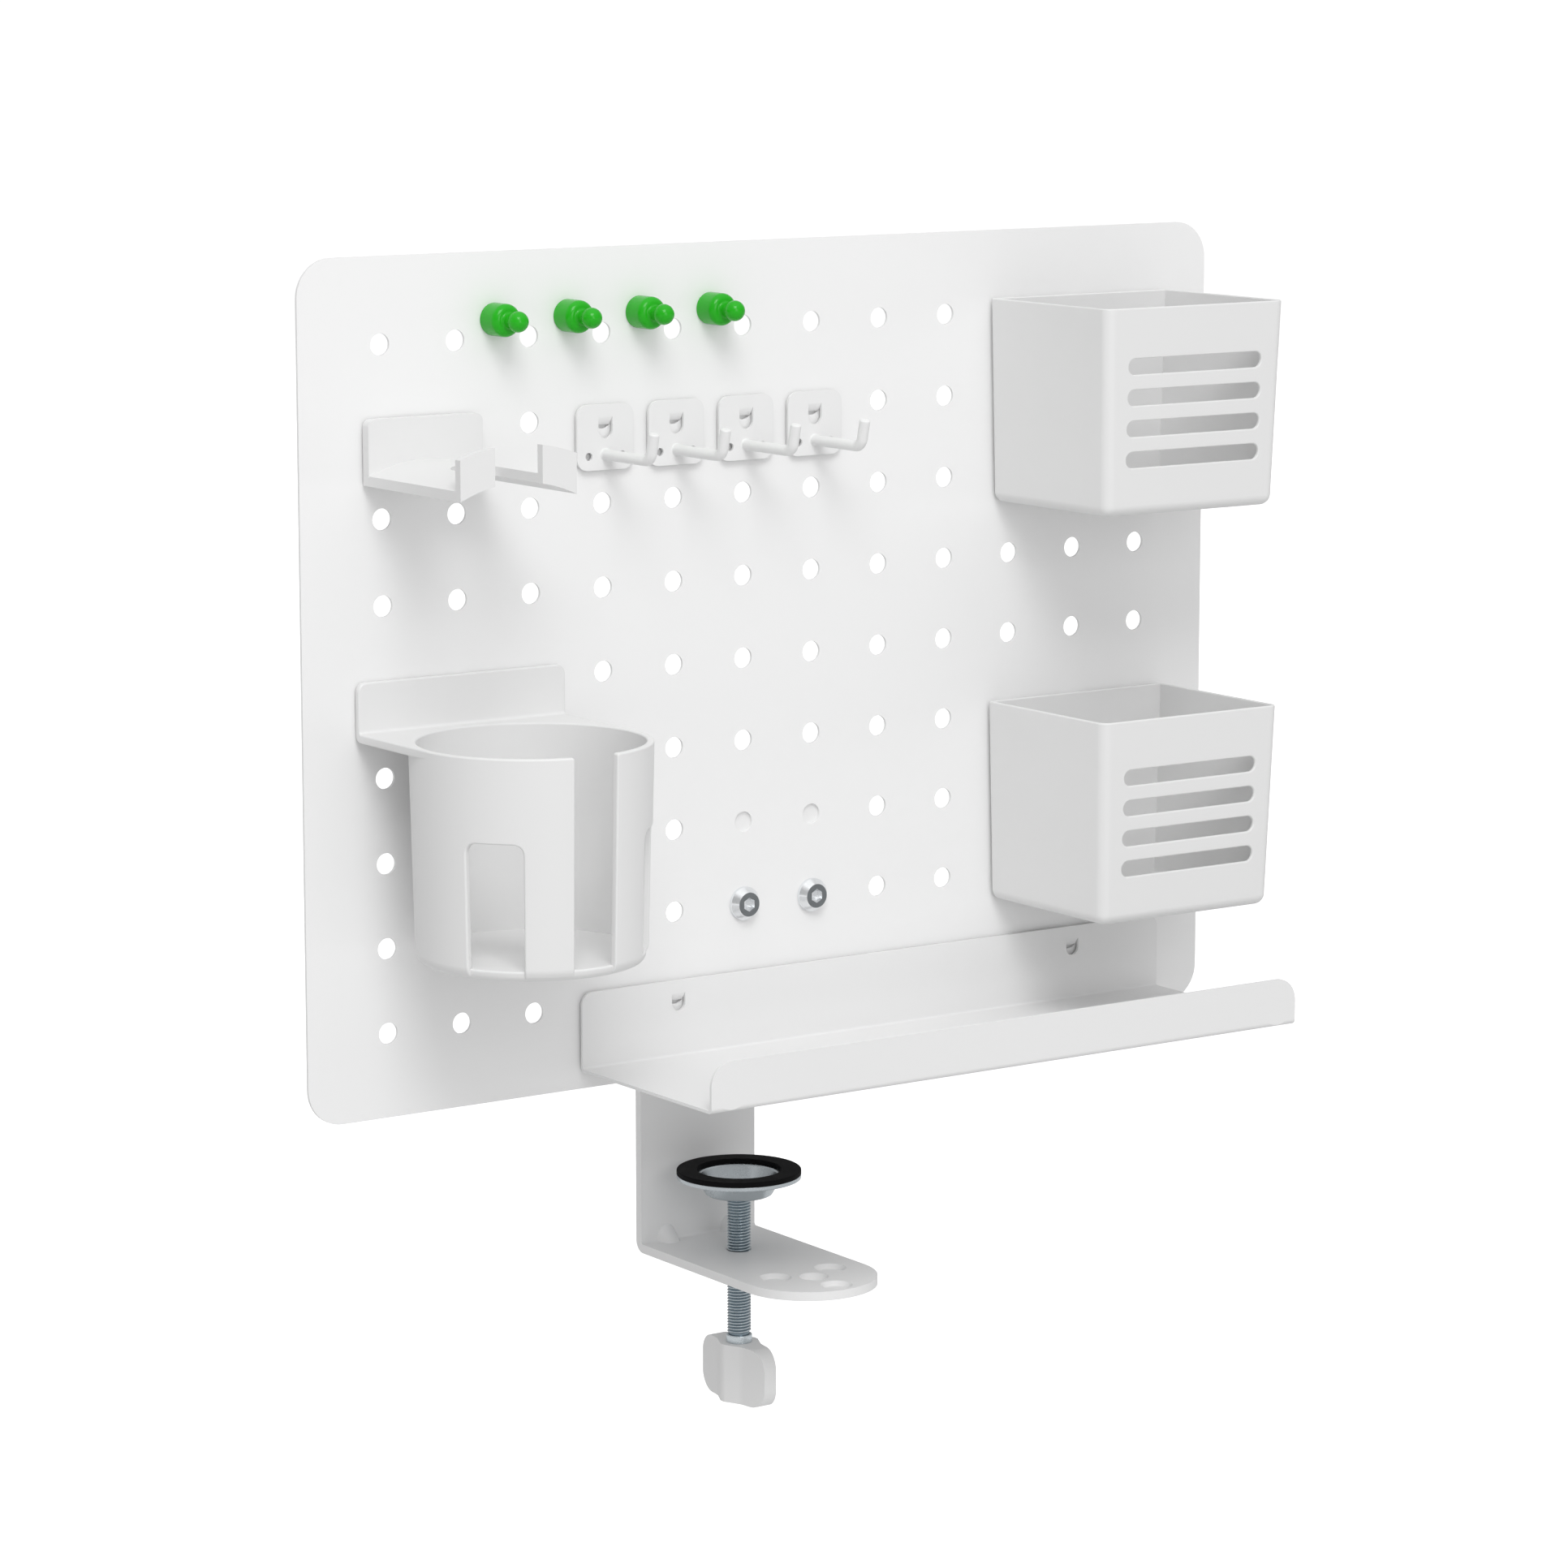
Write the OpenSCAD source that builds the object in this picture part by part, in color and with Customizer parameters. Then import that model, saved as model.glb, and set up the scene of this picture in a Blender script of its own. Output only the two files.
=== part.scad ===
// Desk pegboard tool wall: a perforated steel sheet held up by a clamp-on desk bracket, with
// peg-hung hooks, a headphone holder, two bins, a cup holder, a tray and four magnetic pins.
// Origin: middle of the clamp, at the desk's rear top edge. +X right, -Y towards the user, +Z up.

/* [Panel] */
// Width of the perforated sheet
panel_w = 526; // [440:1:800]
// Height of the perforated sheet
panel_h = 400; // [330:1:600]
// Thickness of the sheet
panel_t = 1.5; // [1:0.1:3]
// Radius of the sheet's corners
panel_corner_r = 18; // [6:1:30]
// Distance between peg holes
pitch = 40; // [33:0.5:50]
// Diameter of the peg holes
hole_d = 10; // [9:0.5:12]
// Least distance from a peg hole's centre to the sheet's edge
hole_edge_min = 30; // [20:1:34]
// Height of the sheet's lower edge above the desk
panel_lift = 2; // [1:0.5:6]

/* [Desk clamp bracket] */
// Width of the steel strip
clamp_w = 68.8; // [62:0.2:90]
// Thickness of the strip
clamp_t = 4.5; // [3:0.1:6]
// Inside radius of its bends
clamp_bend_r = 1.5; // [1:0.1:4]
// Reach of the upper jaw, from the sheet's back to the desk's rear edge
jaw_reach = 68.3; // [66:0.1:100]
// Height of the open jaw between its two plates
jaw_h = 100.7; // [90:0.1:140]
// Length of the lower plate in front of the rear leg
lower_plate_len = 129.7; // [112:0.1:180]
// Distance of the clamp screw from the rear leg
screw_back = 36.3; // [34:0.1:40]
// Distance of the spare screw hole from the rear leg
spare_hole_back = 100.9; // [80:0.1:110]
// Diameter of the spare screw hole
spare_hole_d = 14.5; // [12.5:0.1:16]
// Radius of the ring of pressed dimples around the spare hole
dimple_ring_r = 18.9; // [17:0.1:20]
// Diameter of each dimple
dimple_d = 16; // [10:0.5:17]
// Depth of each dimple
dimple_depth = 2.2; // [1:0.1:2.5]
// Radius of the two stiffening darts in the lower bend
dart_r = 5.8; // [4:0.1:7]
// Distance of each dart from the middle
dart_x = 19; // [14:0.5:24]
// Height of the front leg above the upper row of covered peg holes
leg_over = 18; // [12:0.5:28]

/* [Panel bolts] */
// Thread diameter of the two bolts
bolt_d = 8; // [6:0.5:9]
// Diameter of the bolt head's rim
bolt_head_d = 16.5; // [14:0.1:18]
// Thickness of the rim
bolt_rim_t = 1.8; // [1:0.1:3]
// Height of the head's cone above the rim
bolt_cone_t = 3.4; // [2:0.1:4]
// Diameter of the head's flat top
bolt_top_d = 11.6; // [9:0.1:13]
// Width across the flats of the hexagon socket
bolt_hex = 6; // [4:0.5:7]
// Depth of the socket
bolt_hex_depth = 4; // [2:0.1:4.5]
// Width across the flats of the nuts
nut_af = 13; // [12:0.5:17]
// Thickness of the nuts
nut_t = 6.5; // [5:0.1:8]
// Thickness of the washers
washer_t = 1.6; // [1:0.1:2.5]
// Diameter of the washers
washer_d = 16; // [14:0.5:20]
// Radial clearance of bolts in their plain holes
bolt_gap = 0.2; // [0.1:0.05:0.5]

/* [Clamp screw] */
// Diameter of the screw's thread
screw_d = 12; // [10:0.5:12]
// Radial running clearance of the screw in its thread
screw_gap = 0.05; // [0.03:0.01:0.1]
// Height of the pad's rubber above the desk-side face of the lower plate
pad_rise = 41.3; // [38:0.1:60]
// Outer diameter of the pad
pad_d = 62; // [54:0.5:64]
// Inner diameter of the rubber ring
ring_bore = 41.9; // [34:0.1:46]
// Thickness of the rubber ring
ring_t = 2.5; // [1.5:0.1:4]
// Thickness of the pad's sheet steel
pad_t = 2.1; // [1.5:0.1:3]
// Depth of the pad's dished middle, outside
dish_depth = 10.6; // [8:0.1:12]
// Diameter of the dish at its mouth, inside
dish_mouth_d = 38.6; // [30:0.1:41]
// Diameter of the dish at its floor, inside
dish_floor_d = 29; // [20:0.1:30]
// Diameter of the screw's turned end, which is riveted over in the dish
rivet_d = 8; // [6:0.5:9]
// Diameter of the riveted head
rivet_head_d = 13; // [11:0.5:16]
// Height of the riveted head
rivet_head_t = 2.4; // [1.5:0.1:4]
// Distance from the pad's underside to the screw's plain collar
thread_len = 71.3; // [66:0.1:100]
// Height of the plain collar above the knob
collar_t = 4; // [2:0.1:8]
// Diameter of the plain collar
collar_d = 12.8; // [12.2:0.1:16]

/* [Wing knob] */
// Length over both wings
knob_len = 55; // [40:0.5:60]
// Height of the knob
knob_h = 29.4; // [24:0.1:40]
// Diameter of its hub
knob_hub_d = 20.4; // [18:0.1:26]
// Thickness of a wing where it leaves the hub
wing_root_t = 12.4; // [8:0.1:14]
// Thickness of a wing near its end
wing_tip_t = 6.6; // [4:0.1:8]
// Length of a wing's rounded end
wing_round = 10.5; // [8:0.1:12]
// Depth of the screw in the knob
knob_bore_depth = 22; // [15:0.5:23]

/* [Pegs] */
// Width of a steel tongue that hooks through a peg hole
tongue_w = 7.6; // [5:0.1:8]
// Thickness of the hooks' and the tray's sheet steel
sheet_t = 1.5; // [1:0.1:2]
// Gap between the sheet steel accessories and the panel
sheet_gap = 1.5; // [0.5:0.1:2]
// Width of a moulded peg
peg_w = 7.4; // [5:0.1:8]
// Thickness of a moulded peg's arm
peg_t = 2.6; // [1.6:0.1:3]
// Thickness of a moulded peg's turned-down tip
peg_tip_t = 2.2; // [1.5:0.1:3]
// Clearance between a peg and the rim of its hole
peg_seat_gap = 0.15; // [0.1:0.05:0.3]
// Clearance between a peg's tip and the panel's back
peg_back_gap = 0.3; // [0.2:0.05:0.6]

/* [Wall hooks] */
// Number of hooks
hook_count = 4; // [1:1:4]
// Column of the first hook, counted from 0 at the left
hook_first_col = 3; // [3:1:3]
// Width of a hook's plate
hook_plate_w = 31.5; // [26:0.5:32]
// Height of a hook's plate
hook_plate_h = 31; // [27:0.5:36]
// Height of the plate's top above the peg hole
hook_plate_rise = 6.8; // [4:0.1:10]
// Radius of the plate's corners
hook_corner_r = 5.7; // [3:0.1:8]
// Width of the cut-out that the tongue is bent from
hook_slot_w = 7.8; // [7.8:0.1:9]
// Height of that cut-out
hook_slot_h = 10; // [8:0.1:11]
// Diameter of the hook's rod
rod_d = 5.2; // [3:0.1:6]
// Distance of the rod below the peg hole
rod_drop = 17; // [15:0.1:19]
// Reach of the straight part of the rod, from the panel
rod_reach = 37.2; // [25:0.1:60]
// Radius of the rod's bend, at its centre line
rod_bend_r = 5; // [4:0.1:8]
// Angle through which the rod is bent up
rod_bend_angle = 76; // [60:1:90]
// Length of the rod's upturned end after the bend
rod_tip_len = 9.6; // [6:0.1:20]
// Diameter of the small screw holes in the plate
hook_screw_d = 3.8; // [2:0.1:4]
// Distance of each small hole from the plate's middle
hook_screw_x = 9.3; // [8:0.1:11]

/* [Headphone holder] */
// Width of the holder
phone_w = 61; // [50:0.5:76]
// Height of its back plate
phone_plate_h = 30; // [28:0.5:40]
// Height of the plate's top above the peg holes
phone_plate_rise = 6.6; // [5:0.1:12]
// Thickness of the back plate
phone_plate_t = 5; // [3:0.1:7]
// Gap between the back plate and the panel
phone_gap = 1.6; // [0.5:0.1:3]
// Reach of the holder, from the panel
phone_reach = 86.5; // [60:0.5:110]
// Radius of the arched saddle's top
saddle_r = 74.8; // [50:0.2:120]
// Thickness of the saddle
saddle_t = 4.2; // [3:0.1:6]
// Distance of the saddle's crown below the peg holes
saddle_drop = 12.6; // [10:0.1:16]
// Height of the two front lips above the saddle
phone_lip_h = 12.9; // [8:0.1:25]
// Thickness of the lips
phone_lip_t = 4.3; // [3:0.1:6]
// Width of the open slot between the lips
phone_slot_w = 24.9; // [16:0.1:30]
// Distance from the panel to the slot's inner end
phone_slot_in = 39.5; // [25:0.5:45]

/* [Bins] */
// Width of a bin at its rim
bin_w = 110.6; // [108:0.2:118]
// Depth of a bin at its rim
bin_d = 93; // [60:0.2:120]
// Height of a bin
bin_h = 100.6; // [80:0.2:112]
// Thickness of its walls
bin_wall = 2; // [1.5:0.1:4]
// Height of the rim above the peg holes
bin_rise = 6.8; // [5:0.1:10]
// Gap between the back wall and the panel
bin_gap = 2; // [0.5:0.1:3]
// How far the bin's middle stands to the right of its pegs' middle
bin_shift = 1.3; // [0:0.1:1.5]
// How much each side leans in towards the floor
bin_side_taper = 2.8; // [0:0.1:6]
// How much the front leans in towards the floor
bin_front_taper = 3.2; // [0:0.1:6]
// Radius of the upright front corners, outside
bin_corner_r = 5; // [3:0.1:10]
// Radius of the lower edges, outside
bin_floor_r = 5.5; // [3:0.1:8]
// Number of slots in the front wall
bin_slots = 4; // [1:1:4]
// Width of a slot
bin_slot_w = 82.5; // [40:0.5:85]
// Height of a slot
bin_slot_h = 7.8; // [4:0.1:10]
// Distance between the slots
bin_slot_pitch = 15.05; // [12:0.05:17]
// Distance of the first slot below the rim
bin_slot_drop = 28.2; // [22:0.2:34]

/* [Cup holder] */
// Width of the back plate and outer diameter of the cup at its rim
cup_w = 112; // [98:0.5:118]
// Height of the back plate
cup_plate_h = 27.8; // [22:0.1:40]
// Height of the plate's top above the peg holes
cup_plate_rise = 6; // [5:0.1:10]
// Thickness of the back plate
cup_plate_t = 3.4; // [2.5:0.1:6]
// Radius of the plate's corners
cup_plate_r = 4.5; // [2:0.1:8]
// Gap between the back plate and the panel
cup_gap = 0.8; // [0.5:0.1:3]
// Distance of the cup's axis from the panel
cup_axis = 63.1; // [61:0.1:90]
// Thickness of the shelf between the plate and the cup
cup_shelf_t = 4.2; // [3:0.1:8]
// Height of the cup
cup_h = 102; // [80:0.5:104]
// Thickness of the cup's wall at its rim
cup_wall = 3.5; // [2:0.1:5]
// How much the wall leans in towards the floor
cup_taper = 2.4; // [0:0.1:6]
// Radius of the cup's lower edge
cup_floor_r = 6; // [3:0.1:8]
// Thickness of the cup's floor
cup_floor_t = 5; // [3:0.1:7]
// Width of the slot in the front of the cup
cup_slot_w = 22.8; // [15:0.1:40]
// Radius of the slot's and the windows' corners
cup_slot_r = 5; // [2:0.1:7]
// Width of each side window
cup_window_w = 28; // [15:0.5:32]
// Distance of a window's top below the rim
cup_window_drop = 39; // [25:0.5:60]
// Angle between the front slot and each window
cup_window_angle = 50.5; // [42:0.5:65]

/* [Tray] */
// Length of the tray
tray_w = 350; // [290:1:360]
// Depth of the tray, from the panel to the front of its lip
tray_reach = 112.5; // [70:0.5:140]
// Height of the back flange
tray_back_h = 38.4; // [32:0.1:46]
// Height of the flange's top above the peg holes
tray_rise = 7; // [5:0.1:10]
// Height of the front lip
tray_lip_h = 24; // [12:0.5:30]
// Inside radius of the bends
tray_bend_r = 1.2; // [0.8:0.1:3]
// Radius of the back flange's upper corners
tray_back_r = 6; // [3:0.1:12]
// Radius of the lip's upper corners
tray_lip_r = 11.5; // [4:0.1:12]
// Height of the cut-outs that the tongues are bent from
tray_slot_h = 8.6; // [7:0.1:10]
// Number of columns between the two tongues
tray_span = 6; // [5:1:6]

/* [Magnetic pins] */
// Number of pins
pin_count = 4; // [1:1:4]
// Diameter of a pin's base
pin_d = 15.4; // [12:0.1:18]
// Length of the straight part of the base
pin_base_len = 10; // [7:0.1:14]
// Overall length of a pin
pin_len = 26; // [22:0.1:32]
// Diameter of the ball
pin_ball_d = 9.8; // [8:0.1:12]
// Diameter of the neck
pin_neck_d = 6.6; // [5:0.1:7.5]
// Height of the pins' axes above the upper row of peg holes
pin_rise = 8.8; // [8.8:0.1:14]
// Sideways distance of the first pin from its column of peg holes
pin_shift = 21; // [19:0.5:22]
// Diameter of the magnet in the base
magnet_d = 10; // [6:0.1:12]
// Thickness of the magnet
magnet_t = 3; // [2:0.1:5]
// Radial clearance of the magnet in its pocket
magnet_gap = 0.05; // [0.02:0.01:0.1]

/* [Hidden] */
$fn = 96;
hull_fn = 32;
cut = 1;
skin = 0.01;
rod_lap = 0.3;

// Peg hole grid. Columns count from the left, rows from the top.
cols = floor((panel_w - 2 * hole_edge_min) / pitch) + 1;
rows = floor((panel_h - 2 * hole_edge_min) / pitch) + 1;
margin_x = (panel_w - (cols - 1) * pitch) / 2;
margin_z = (panel_h - (rows - 1) * pitch) / 2;
bolt_col = floor((cols - 1) / 2);
bolt_row = rows - 2;
hole_r = hole_d / 2;
y_back = -jaw_reach;
y_front = y_back - panel_t;
function col_x(c) = (c - bolt_col - 0.5) * pitch;
function row_z(r) = panel_lift + margin_z + (rows - 1 - r) * pitch;

// How far a peg of width w sits below its hole's centre, and where its tip ends
function seat_drop(w) = sqrt(hole_r * hole_r - w * w / 4) - peg_seat_gap;
function lift(w, t) = 2 * seat_drop(w) - t;
function tip_drop(w, t) = seat_drop(w) + lift(w, t);

// Places of the hung pieces: peg row and column of each
hook_row = 1;
phone_row = 1;
phone_col = 0;
upper_bin_row = 0;
bin_col = cols - 2;
tray_row = rows - 1;
// The bracket's leg blocks the two bolt columns, so the tray's left tongue stays left of them
tray_col = min(cols - 2 - tray_span, bolt_col - 1);
hang_clear = 8;
bin_rows = ceil((bin_h - bin_rise + tray_rise + hang_clear) / pitch);
lower_bin_row = tray_row - bin_rows;
cup_col = 1;
cup_rim_drop = cup_plate_h - cup_plate_rise - cup_shelf_t;
cup_rows = ceil((cup_rim_drop + cup_h + tray_rise + hang_clear) / pitch);
cup_row = tray_row - cup_rows;
pin_row = 0;
pin_col = 1;

// Clamp heights, downwards from the desk's top face at 0
lower_top = -jaw_h;
ring_top = lower_top + pad_rise;
pad_top = ring_top - ring_t;
dish_under = pad_top - dish_depth;
collar_top = dish_under - skin - thread_len;
knob_top = collar_top - collar_t;
plate_round_r = clamp_w / 2;

// ---- plain helpers -------------------------------------------------------------------------

// Rectangle centred in x from y0 to y1, with its own radius at the lower and upper corners
module card(w, y0, y1, r_low, r_high) {
    h = y1 - y0;
    union() {
        translate([-w / 2, y0 + r_low]) square([w, h - r_low - r_high]);
        translate([-w / 2 + r_low, y0]) square([w - 2 * r_low, r_low + skin]);
        translate([-w / 2 + r_high, y1 - r_high - skin]) square([w - 2 * r_high, r_high + skin]);
        for (s = [-1, 1]) {
            if (r_low > 0) translate([s * (w / 2 - r_low), y0 + r_low]) circle(r_low);
            if (r_high > 0) translate([s * (w / 2 - r_high), y1 - r_high]) circle(r_high);
        }
    }
}

// Upright sheet: a card drawn in x and z, from y0 backwards by t
module upright(y0, t) {
    translate([0, y0 + t, 0]) rotate([90, 0, 0]) linear_extrude(t) children();
}

// Outline drawn in y and z, extruded to a width w centred in x
module across(w) {
    translate([-w / 2, 0, 0]) rotate([90, 0, 90]) linear_extrude(w) children();
}

// Quarter of a bend with inside radius r in a sheet of thickness t; q turns it in steps of 90 deg
module bend(r, t, q) {
    rotate(90 * q) intersection() {
        difference() {
            circle(r + t);
            circle(r);
        }
        square(r + t);
    }
}

// Round bar along y from y0 to y1
module bar_y(d, y0, y1) {
    translate([0, y1, 0]) rotate([90, 0, 0]) cylinder(d = d, h = y1 - y0);
}

// Hexagonal bar along y from y0 to y1, with width af across its flats, one corner up
module hex_y(af, y0, y1) {
    translate([0, y1, 0]) rotate([90, 0, 0]) rotate(90)
        cylinder(d = af / cos(30), h = y1 - y0, $fn = 6);
}

// ---- panel and its bracket -----------------------------------------------------------------

module panel() {
    color("whitesmoke")
    difference() {
        translate([col_x(0) - margin_x + panel_w / 2, 0, 0])
            upright(y_front, panel_t)
                card(panel_w, panel_lift, panel_lift + panel_h, panel_corner_r, panel_corner_r);
        for (c = [0 : cols - 1], r = [0 : rows - 1])
            translate([col_x(c), 0, row_z(r)]) bar_y(hole_d, y_front - cut, y_back + cut);
    }
}

// Side view of the strip: front leg, upper jaw, rear leg and the start of the lower plate
module strip_side() {
    t = clamp_t;
    r = clamp_bend_r;
    leg_top = row_z(bolt_row - 1) + leg_over;
    low = lower_top - t;
    translate([y_back, t + r]) square([t, leg_top - t - r]);
    translate([y_back + t + r, t + r]) bend(r, t, 2);
    translate([y_back + t + r, 0]) square([-y_back - t - 2 * r, t]);
    translate([-r, -r]) bend(r, t, 0);
    translate([0, lower_top + r]) square([t, jaw_h - 2 * r]);
    translate([-r, lower_top + r]) bend(r, t, 3);
    translate([-r - dart_r, low]) square([dart_r, t]);
}

module clamp_bracket() {
    color("whitesmoke")
    difference() {
        union() {
            across(clamp_w) strip_side();
            translate([0, 0, lower_top - clamp_t]) linear_extrude(clamp_t) {
                translate([-clamp_w / 2, plate_round_r - lower_plate_len])
                    square([clamp_w, lower_plate_len - plate_round_r - clamp_bend_r - dart_r + skin]);
                translate([0, plate_round_r - lower_plate_len]) circle(plate_round_r);
            }
            for (s = [-1, 1]) intersection() {
                translate([s * dart_x, 0, lower_top]) rotate([-45, 0, 0])
                    cylinder(r = dart_r, h = 6 * dart_r, center = true);
                translate([s * dart_x - 2 * dart_r, -3 * dart_r, lower_top - clamp_t / 2])
                    cube([4 * dart_r, 3 * dart_r + clamp_t / 2, 3 * dart_r]);
            }
        }
        translate([0, -screw_back, lower_top - clamp_t - cut])
            cylinder(d = screw_d + 2 * screw_gap, h = clamp_t + 2 * cut);
        translate([0, -spare_hole_back, lower_top - clamp_t - cut])
            cylinder(d = spare_hole_d, h = clamp_t + 2 * cut);
        for (a = [30, 150, 270])
            translate([dimple_ring_r * cos(a), dimple_ring_r * sin(a) - spare_hole_back, 0])
                translate([0, 0, lower_top - dimple_depth])
                    cylinder(d1 = dimple_d - 2 * dimple_depth, d2 = dimple_d + 2 * cut,
                        h = dimple_depth + cut);
        for (s = [0, 1]) translate([col_x(bolt_col + s), 0, row_z(bolt_row)])
            bar_y(bolt_d + 2 * bolt_gap, y_back - cut, y_back + clamp_t + cut);
    }
}

// ---- bolts, washers and nuts ---------------------------------------------------------------

bolt_end = y_back + clamp_t + washer_t + nut_t + 1.5;
module bolt(c) {
    color("silver")
    translate([col_x(c), 0, row_z(bolt_row)]) difference() {
        union() {
            bar_y(bolt_d, y_front - skin, bolt_end);
            bar_y(bolt_head_d, y_front - bolt_rim_t, y_front);
            translate([0, y_front - bolt_rim_t, 0]) rotate([90, 0, 0])
                cylinder(d1 = bolt_head_d - 1.2, d2 = bolt_top_d, h = bolt_cone_t);
        }
        hex_y(bolt_hex, y_front - bolt_rim_t - bolt_cone_t - cut,
            y_front - bolt_rim_t - bolt_cone_t + bolt_hex_depth);
    }
}

module bolt_washers() {
    color("silver")
    for (s = [0, 1]) translate([col_x(bolt_col + s), 0, row_z(bolt_row)]) difference() {
        bar_y(washer_d, y_back + clamp_t, y_back + clamp_t + washer_t);
        bar_y(bolt_d + 2 * bolt_gap, y_back, y_back + clamp_t + washer_t + cut);
    }
}

module bolt_nuts() {
    y0 = y_back + clamp_t + washer_t;
    color("silver")
    for (s = [0, 1]) translate([col_x(bolt_col + s), 0, row_z(bolt_row)]) difference() {
        hex_y(nut_af, y0, y0 + nut_t);
        bar_y(bolt_d + 2 * skin, y0 - cut, y0 + nut_t + cut);
    }
}

// ---- clamp screw, pad and knob -------------------------------------------------------------

module clamp_screw() {
    color("lightsteelblue") translate([0, -screw_back, 0]) {
        translate([0, 0, collar_top]) cylinder(d = screw_d, h = thread_len);
        translate([0, 0, knob_top]) cylinder(d = collar_d, h = collar_t + skin);
        translate([0, 0, knob_top - knob_bore_depth]) cylinder(d = screw_d, h = knob_bore_depth + skin);
        translate([0, 0, dish_under - 2 * skin]) cylinder(d = rivet_d, h = pad_t + 4 * skin);
        translate([0, 0, dish_under + pad_t + skin])
            cylinder(d1 = rivet_head_d, d2 = rivet_head_d - rivet_head_t, h = rivet_head_t);
    }
}

module pad_dish() {
    mouth = dish_mouth_d / 2;
    floor_r = dish_floor_d / 2;
    color("silver")
    translate([0, -screw_back, 0]) rotate_extrude() polygon([
        [rivet_d / 2 + screw_gap, dish_under], [floor_r + pad_t * 0.6, dish_under],
        [floor_r + pad_t * 1.7, dish_under + pad_t * 0.9], [mouth + pad_t * 0.7, pad_top - pad_t],
        [pad_d / 2, pad_top - pad_t], [pad_d / 2, pad_top], [mouth, pad_top],
        [floor_r, dish_under + pad_t], [rivet_d / 2 + screw_gap, dish_under + pad_t]
    ]);
}

module pad_ring() {
    color("black")
    translate([0, -screw_back, pad_top]) difference() {
        cylinder(d = pad_d, h = ring_t);
        translate([0, 0, -cut]) cylinder(d = ring_bore, h = ring_t + 2 * cut);
    }
}

// Outline of the wings from above: waisted from the hub's width to the thin, round tips
module knob_plan() {
    tip = knob_len / 2 - wing_tip_t / 2;
    circle(d = knob_hub_d);
    polygon([[-wing_root_t / 2, 0], [-wing_tip_t / 2, -tip], [wing_tip_t / 2, -tip],
        [wing_root_t / 2, 0], [wing_tip_t / 2, tip], [-wing_tip_t / 2, tip]]);
    for (s = [-1, 1]) translate([0, s * tip]) circle(d = wing_tip_t);
}

// Outline of the wings from the side: level top and bottom, and elliptical ends
module knob_side() {
    flat = knob_len / 2 - wing_round;
    half = knob_h / 2;
    arc = [for (i = [0 : 12]) let (a = 90 - 15 * i)
        [flat + wing_round * cos(a), half * sin(a)]];
    polygon(concat(arc, [for (i = [12 : -1 : 0]) [-arc[i][0], arc[i][1]]]));
}

module clamp_knob() {
    color("whitesmoke")
    translate([0, -screw_back, knob_top - knob_h / 2]) difference() {
        intersection() {
            translate([0, 0, -knob_h / 2]) linear_extrude(knob_h) knob_plan();
            across(2 * knob_hub_d) knob_side();
        }
        translate([0, 0, knob_h / 2 - knob_bore_depth])
            cylinder(d = screw_d, h = knob_bore_depth + cut);
    }
}

// ---- pegs ----------------------------------------------------------------------------------

// Tongue of a sheet steel piece: slants back from the top of its cut-out, then turns down
module sheet_tongue() {
    seat = -seat_drop(tongue_w);
    tip = -tip_drop(tongue_w, sheet_t);
    face = y_front - sheet_gap - sheet_t;
    back = y_back + peg_back_gap;
    across(tongue_w) polygon([
        [face, sheet_t * 1.5], [face + sheet_t, sheet_t * 1.5], [face + sheet_t, 0.7],
        [y_front, seat + sheet_t], [back + sheet_t * 0.6, seat + sheet_t],
        [back + sheet_t, seat + sheet_t * 0.5], [back + sheet_t, tip], [back, tip],
        [back, seat], [y_front - 0.4, seat], [face, 0.7]
    ]);
}

// Cut-out in an upright sheet, flat at the top and round at the bottom
module tongue_slot(w, h) {
    upright(y_front - sheet_gap - sheet_t - cut, sheet_t + 2 * cut) {
        translate([-w / 2, 0.7 - h + w / 2]) square([w, h - w / 2]);
        translate([0, 0.7 - h + w / 2]) circle(d = w);
    }
}

// Moulded peg that starts at depth y0 inside its back plate
module moulded_peg(y0) {
    seat = -seat_drop(peg_w);
    tip = -tip_drop(peg_w, peg_t);
    back = y_back + peg_back_gap;
    across(peg_w) polygon([
        [y0, seat], [back, seat], [back, tip], [back + peg_tip_t * 0.6, tip],
        [back + peg_tip_t, tip + peg_tip_t * 0.5], [back + peg_tip_t, seat + peg_t],
        [y0, seat + peg_t]
    ]);
}

// ---- wall hooks ----------------------------------------------------------------------------

module hook_plate(i) {
    top = hook_plate_rise;
    color("whitesmoke")
    translate([col_x(hook_first_col + i), 0, row_z(hook_row)]) {
        difference() {
            upright(y_front - sheet_gap - sheet_t, sheet_t)
                card(hook_plate_w, top - hook_plate_h, top, hook_corner_r, hook_corner_r);
            tongue_slot(hook_slot_w, hook_slot_h);
            for (s = [-1, 1]) translate([s * hook_screw_x, 0, -rod_drop - 0.6])
                bar_y(hook_screw_d, y_front - sheet_gap - sheet_t - cut, y_front);
        }
        sheet_tongue();
    }
}

module hook_rod(i) {
    root = y_front - sheet_gap - sheet_t;
    bend_y = y_front - rod_reach;
    a = rod_bend_angle;
    color("whitesmoke")
    translate([col_x(hook_first_col + i), 0, row_z(hook_row) - rod_drop]) {
        bar_y(rod_d, bend_y - rod_lap, root);
        translate([0, bend_y, rod_bend_r]) {
            rotate([0, 90, 0]) rotate([0, 0, -a])
                rotate_extrude(angle = a) translate([rod_bend_r, 0]) circle(d = rod_d + 4 * skin);
            rotate([-a, 0, 0]) translate([0, 0, -rod_bend_r]) bar_y(rod_d, -rod_tip_len, rod_lap);
        }
    }
}

// ---- headphone holder ----------------------------------------------------------------------

// Arch in x and z between two radii about the saddle's centre
module arch(r0, r1) {
    translate([0, -saddle_drop - saddle_r]) intersection() {
        difference() {
            circle(r1);
            circle(r0);
        }
        translate([-phone_w / 2, 0]) square([phone_w, 2 * saddle_r]);
    }
}

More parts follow.
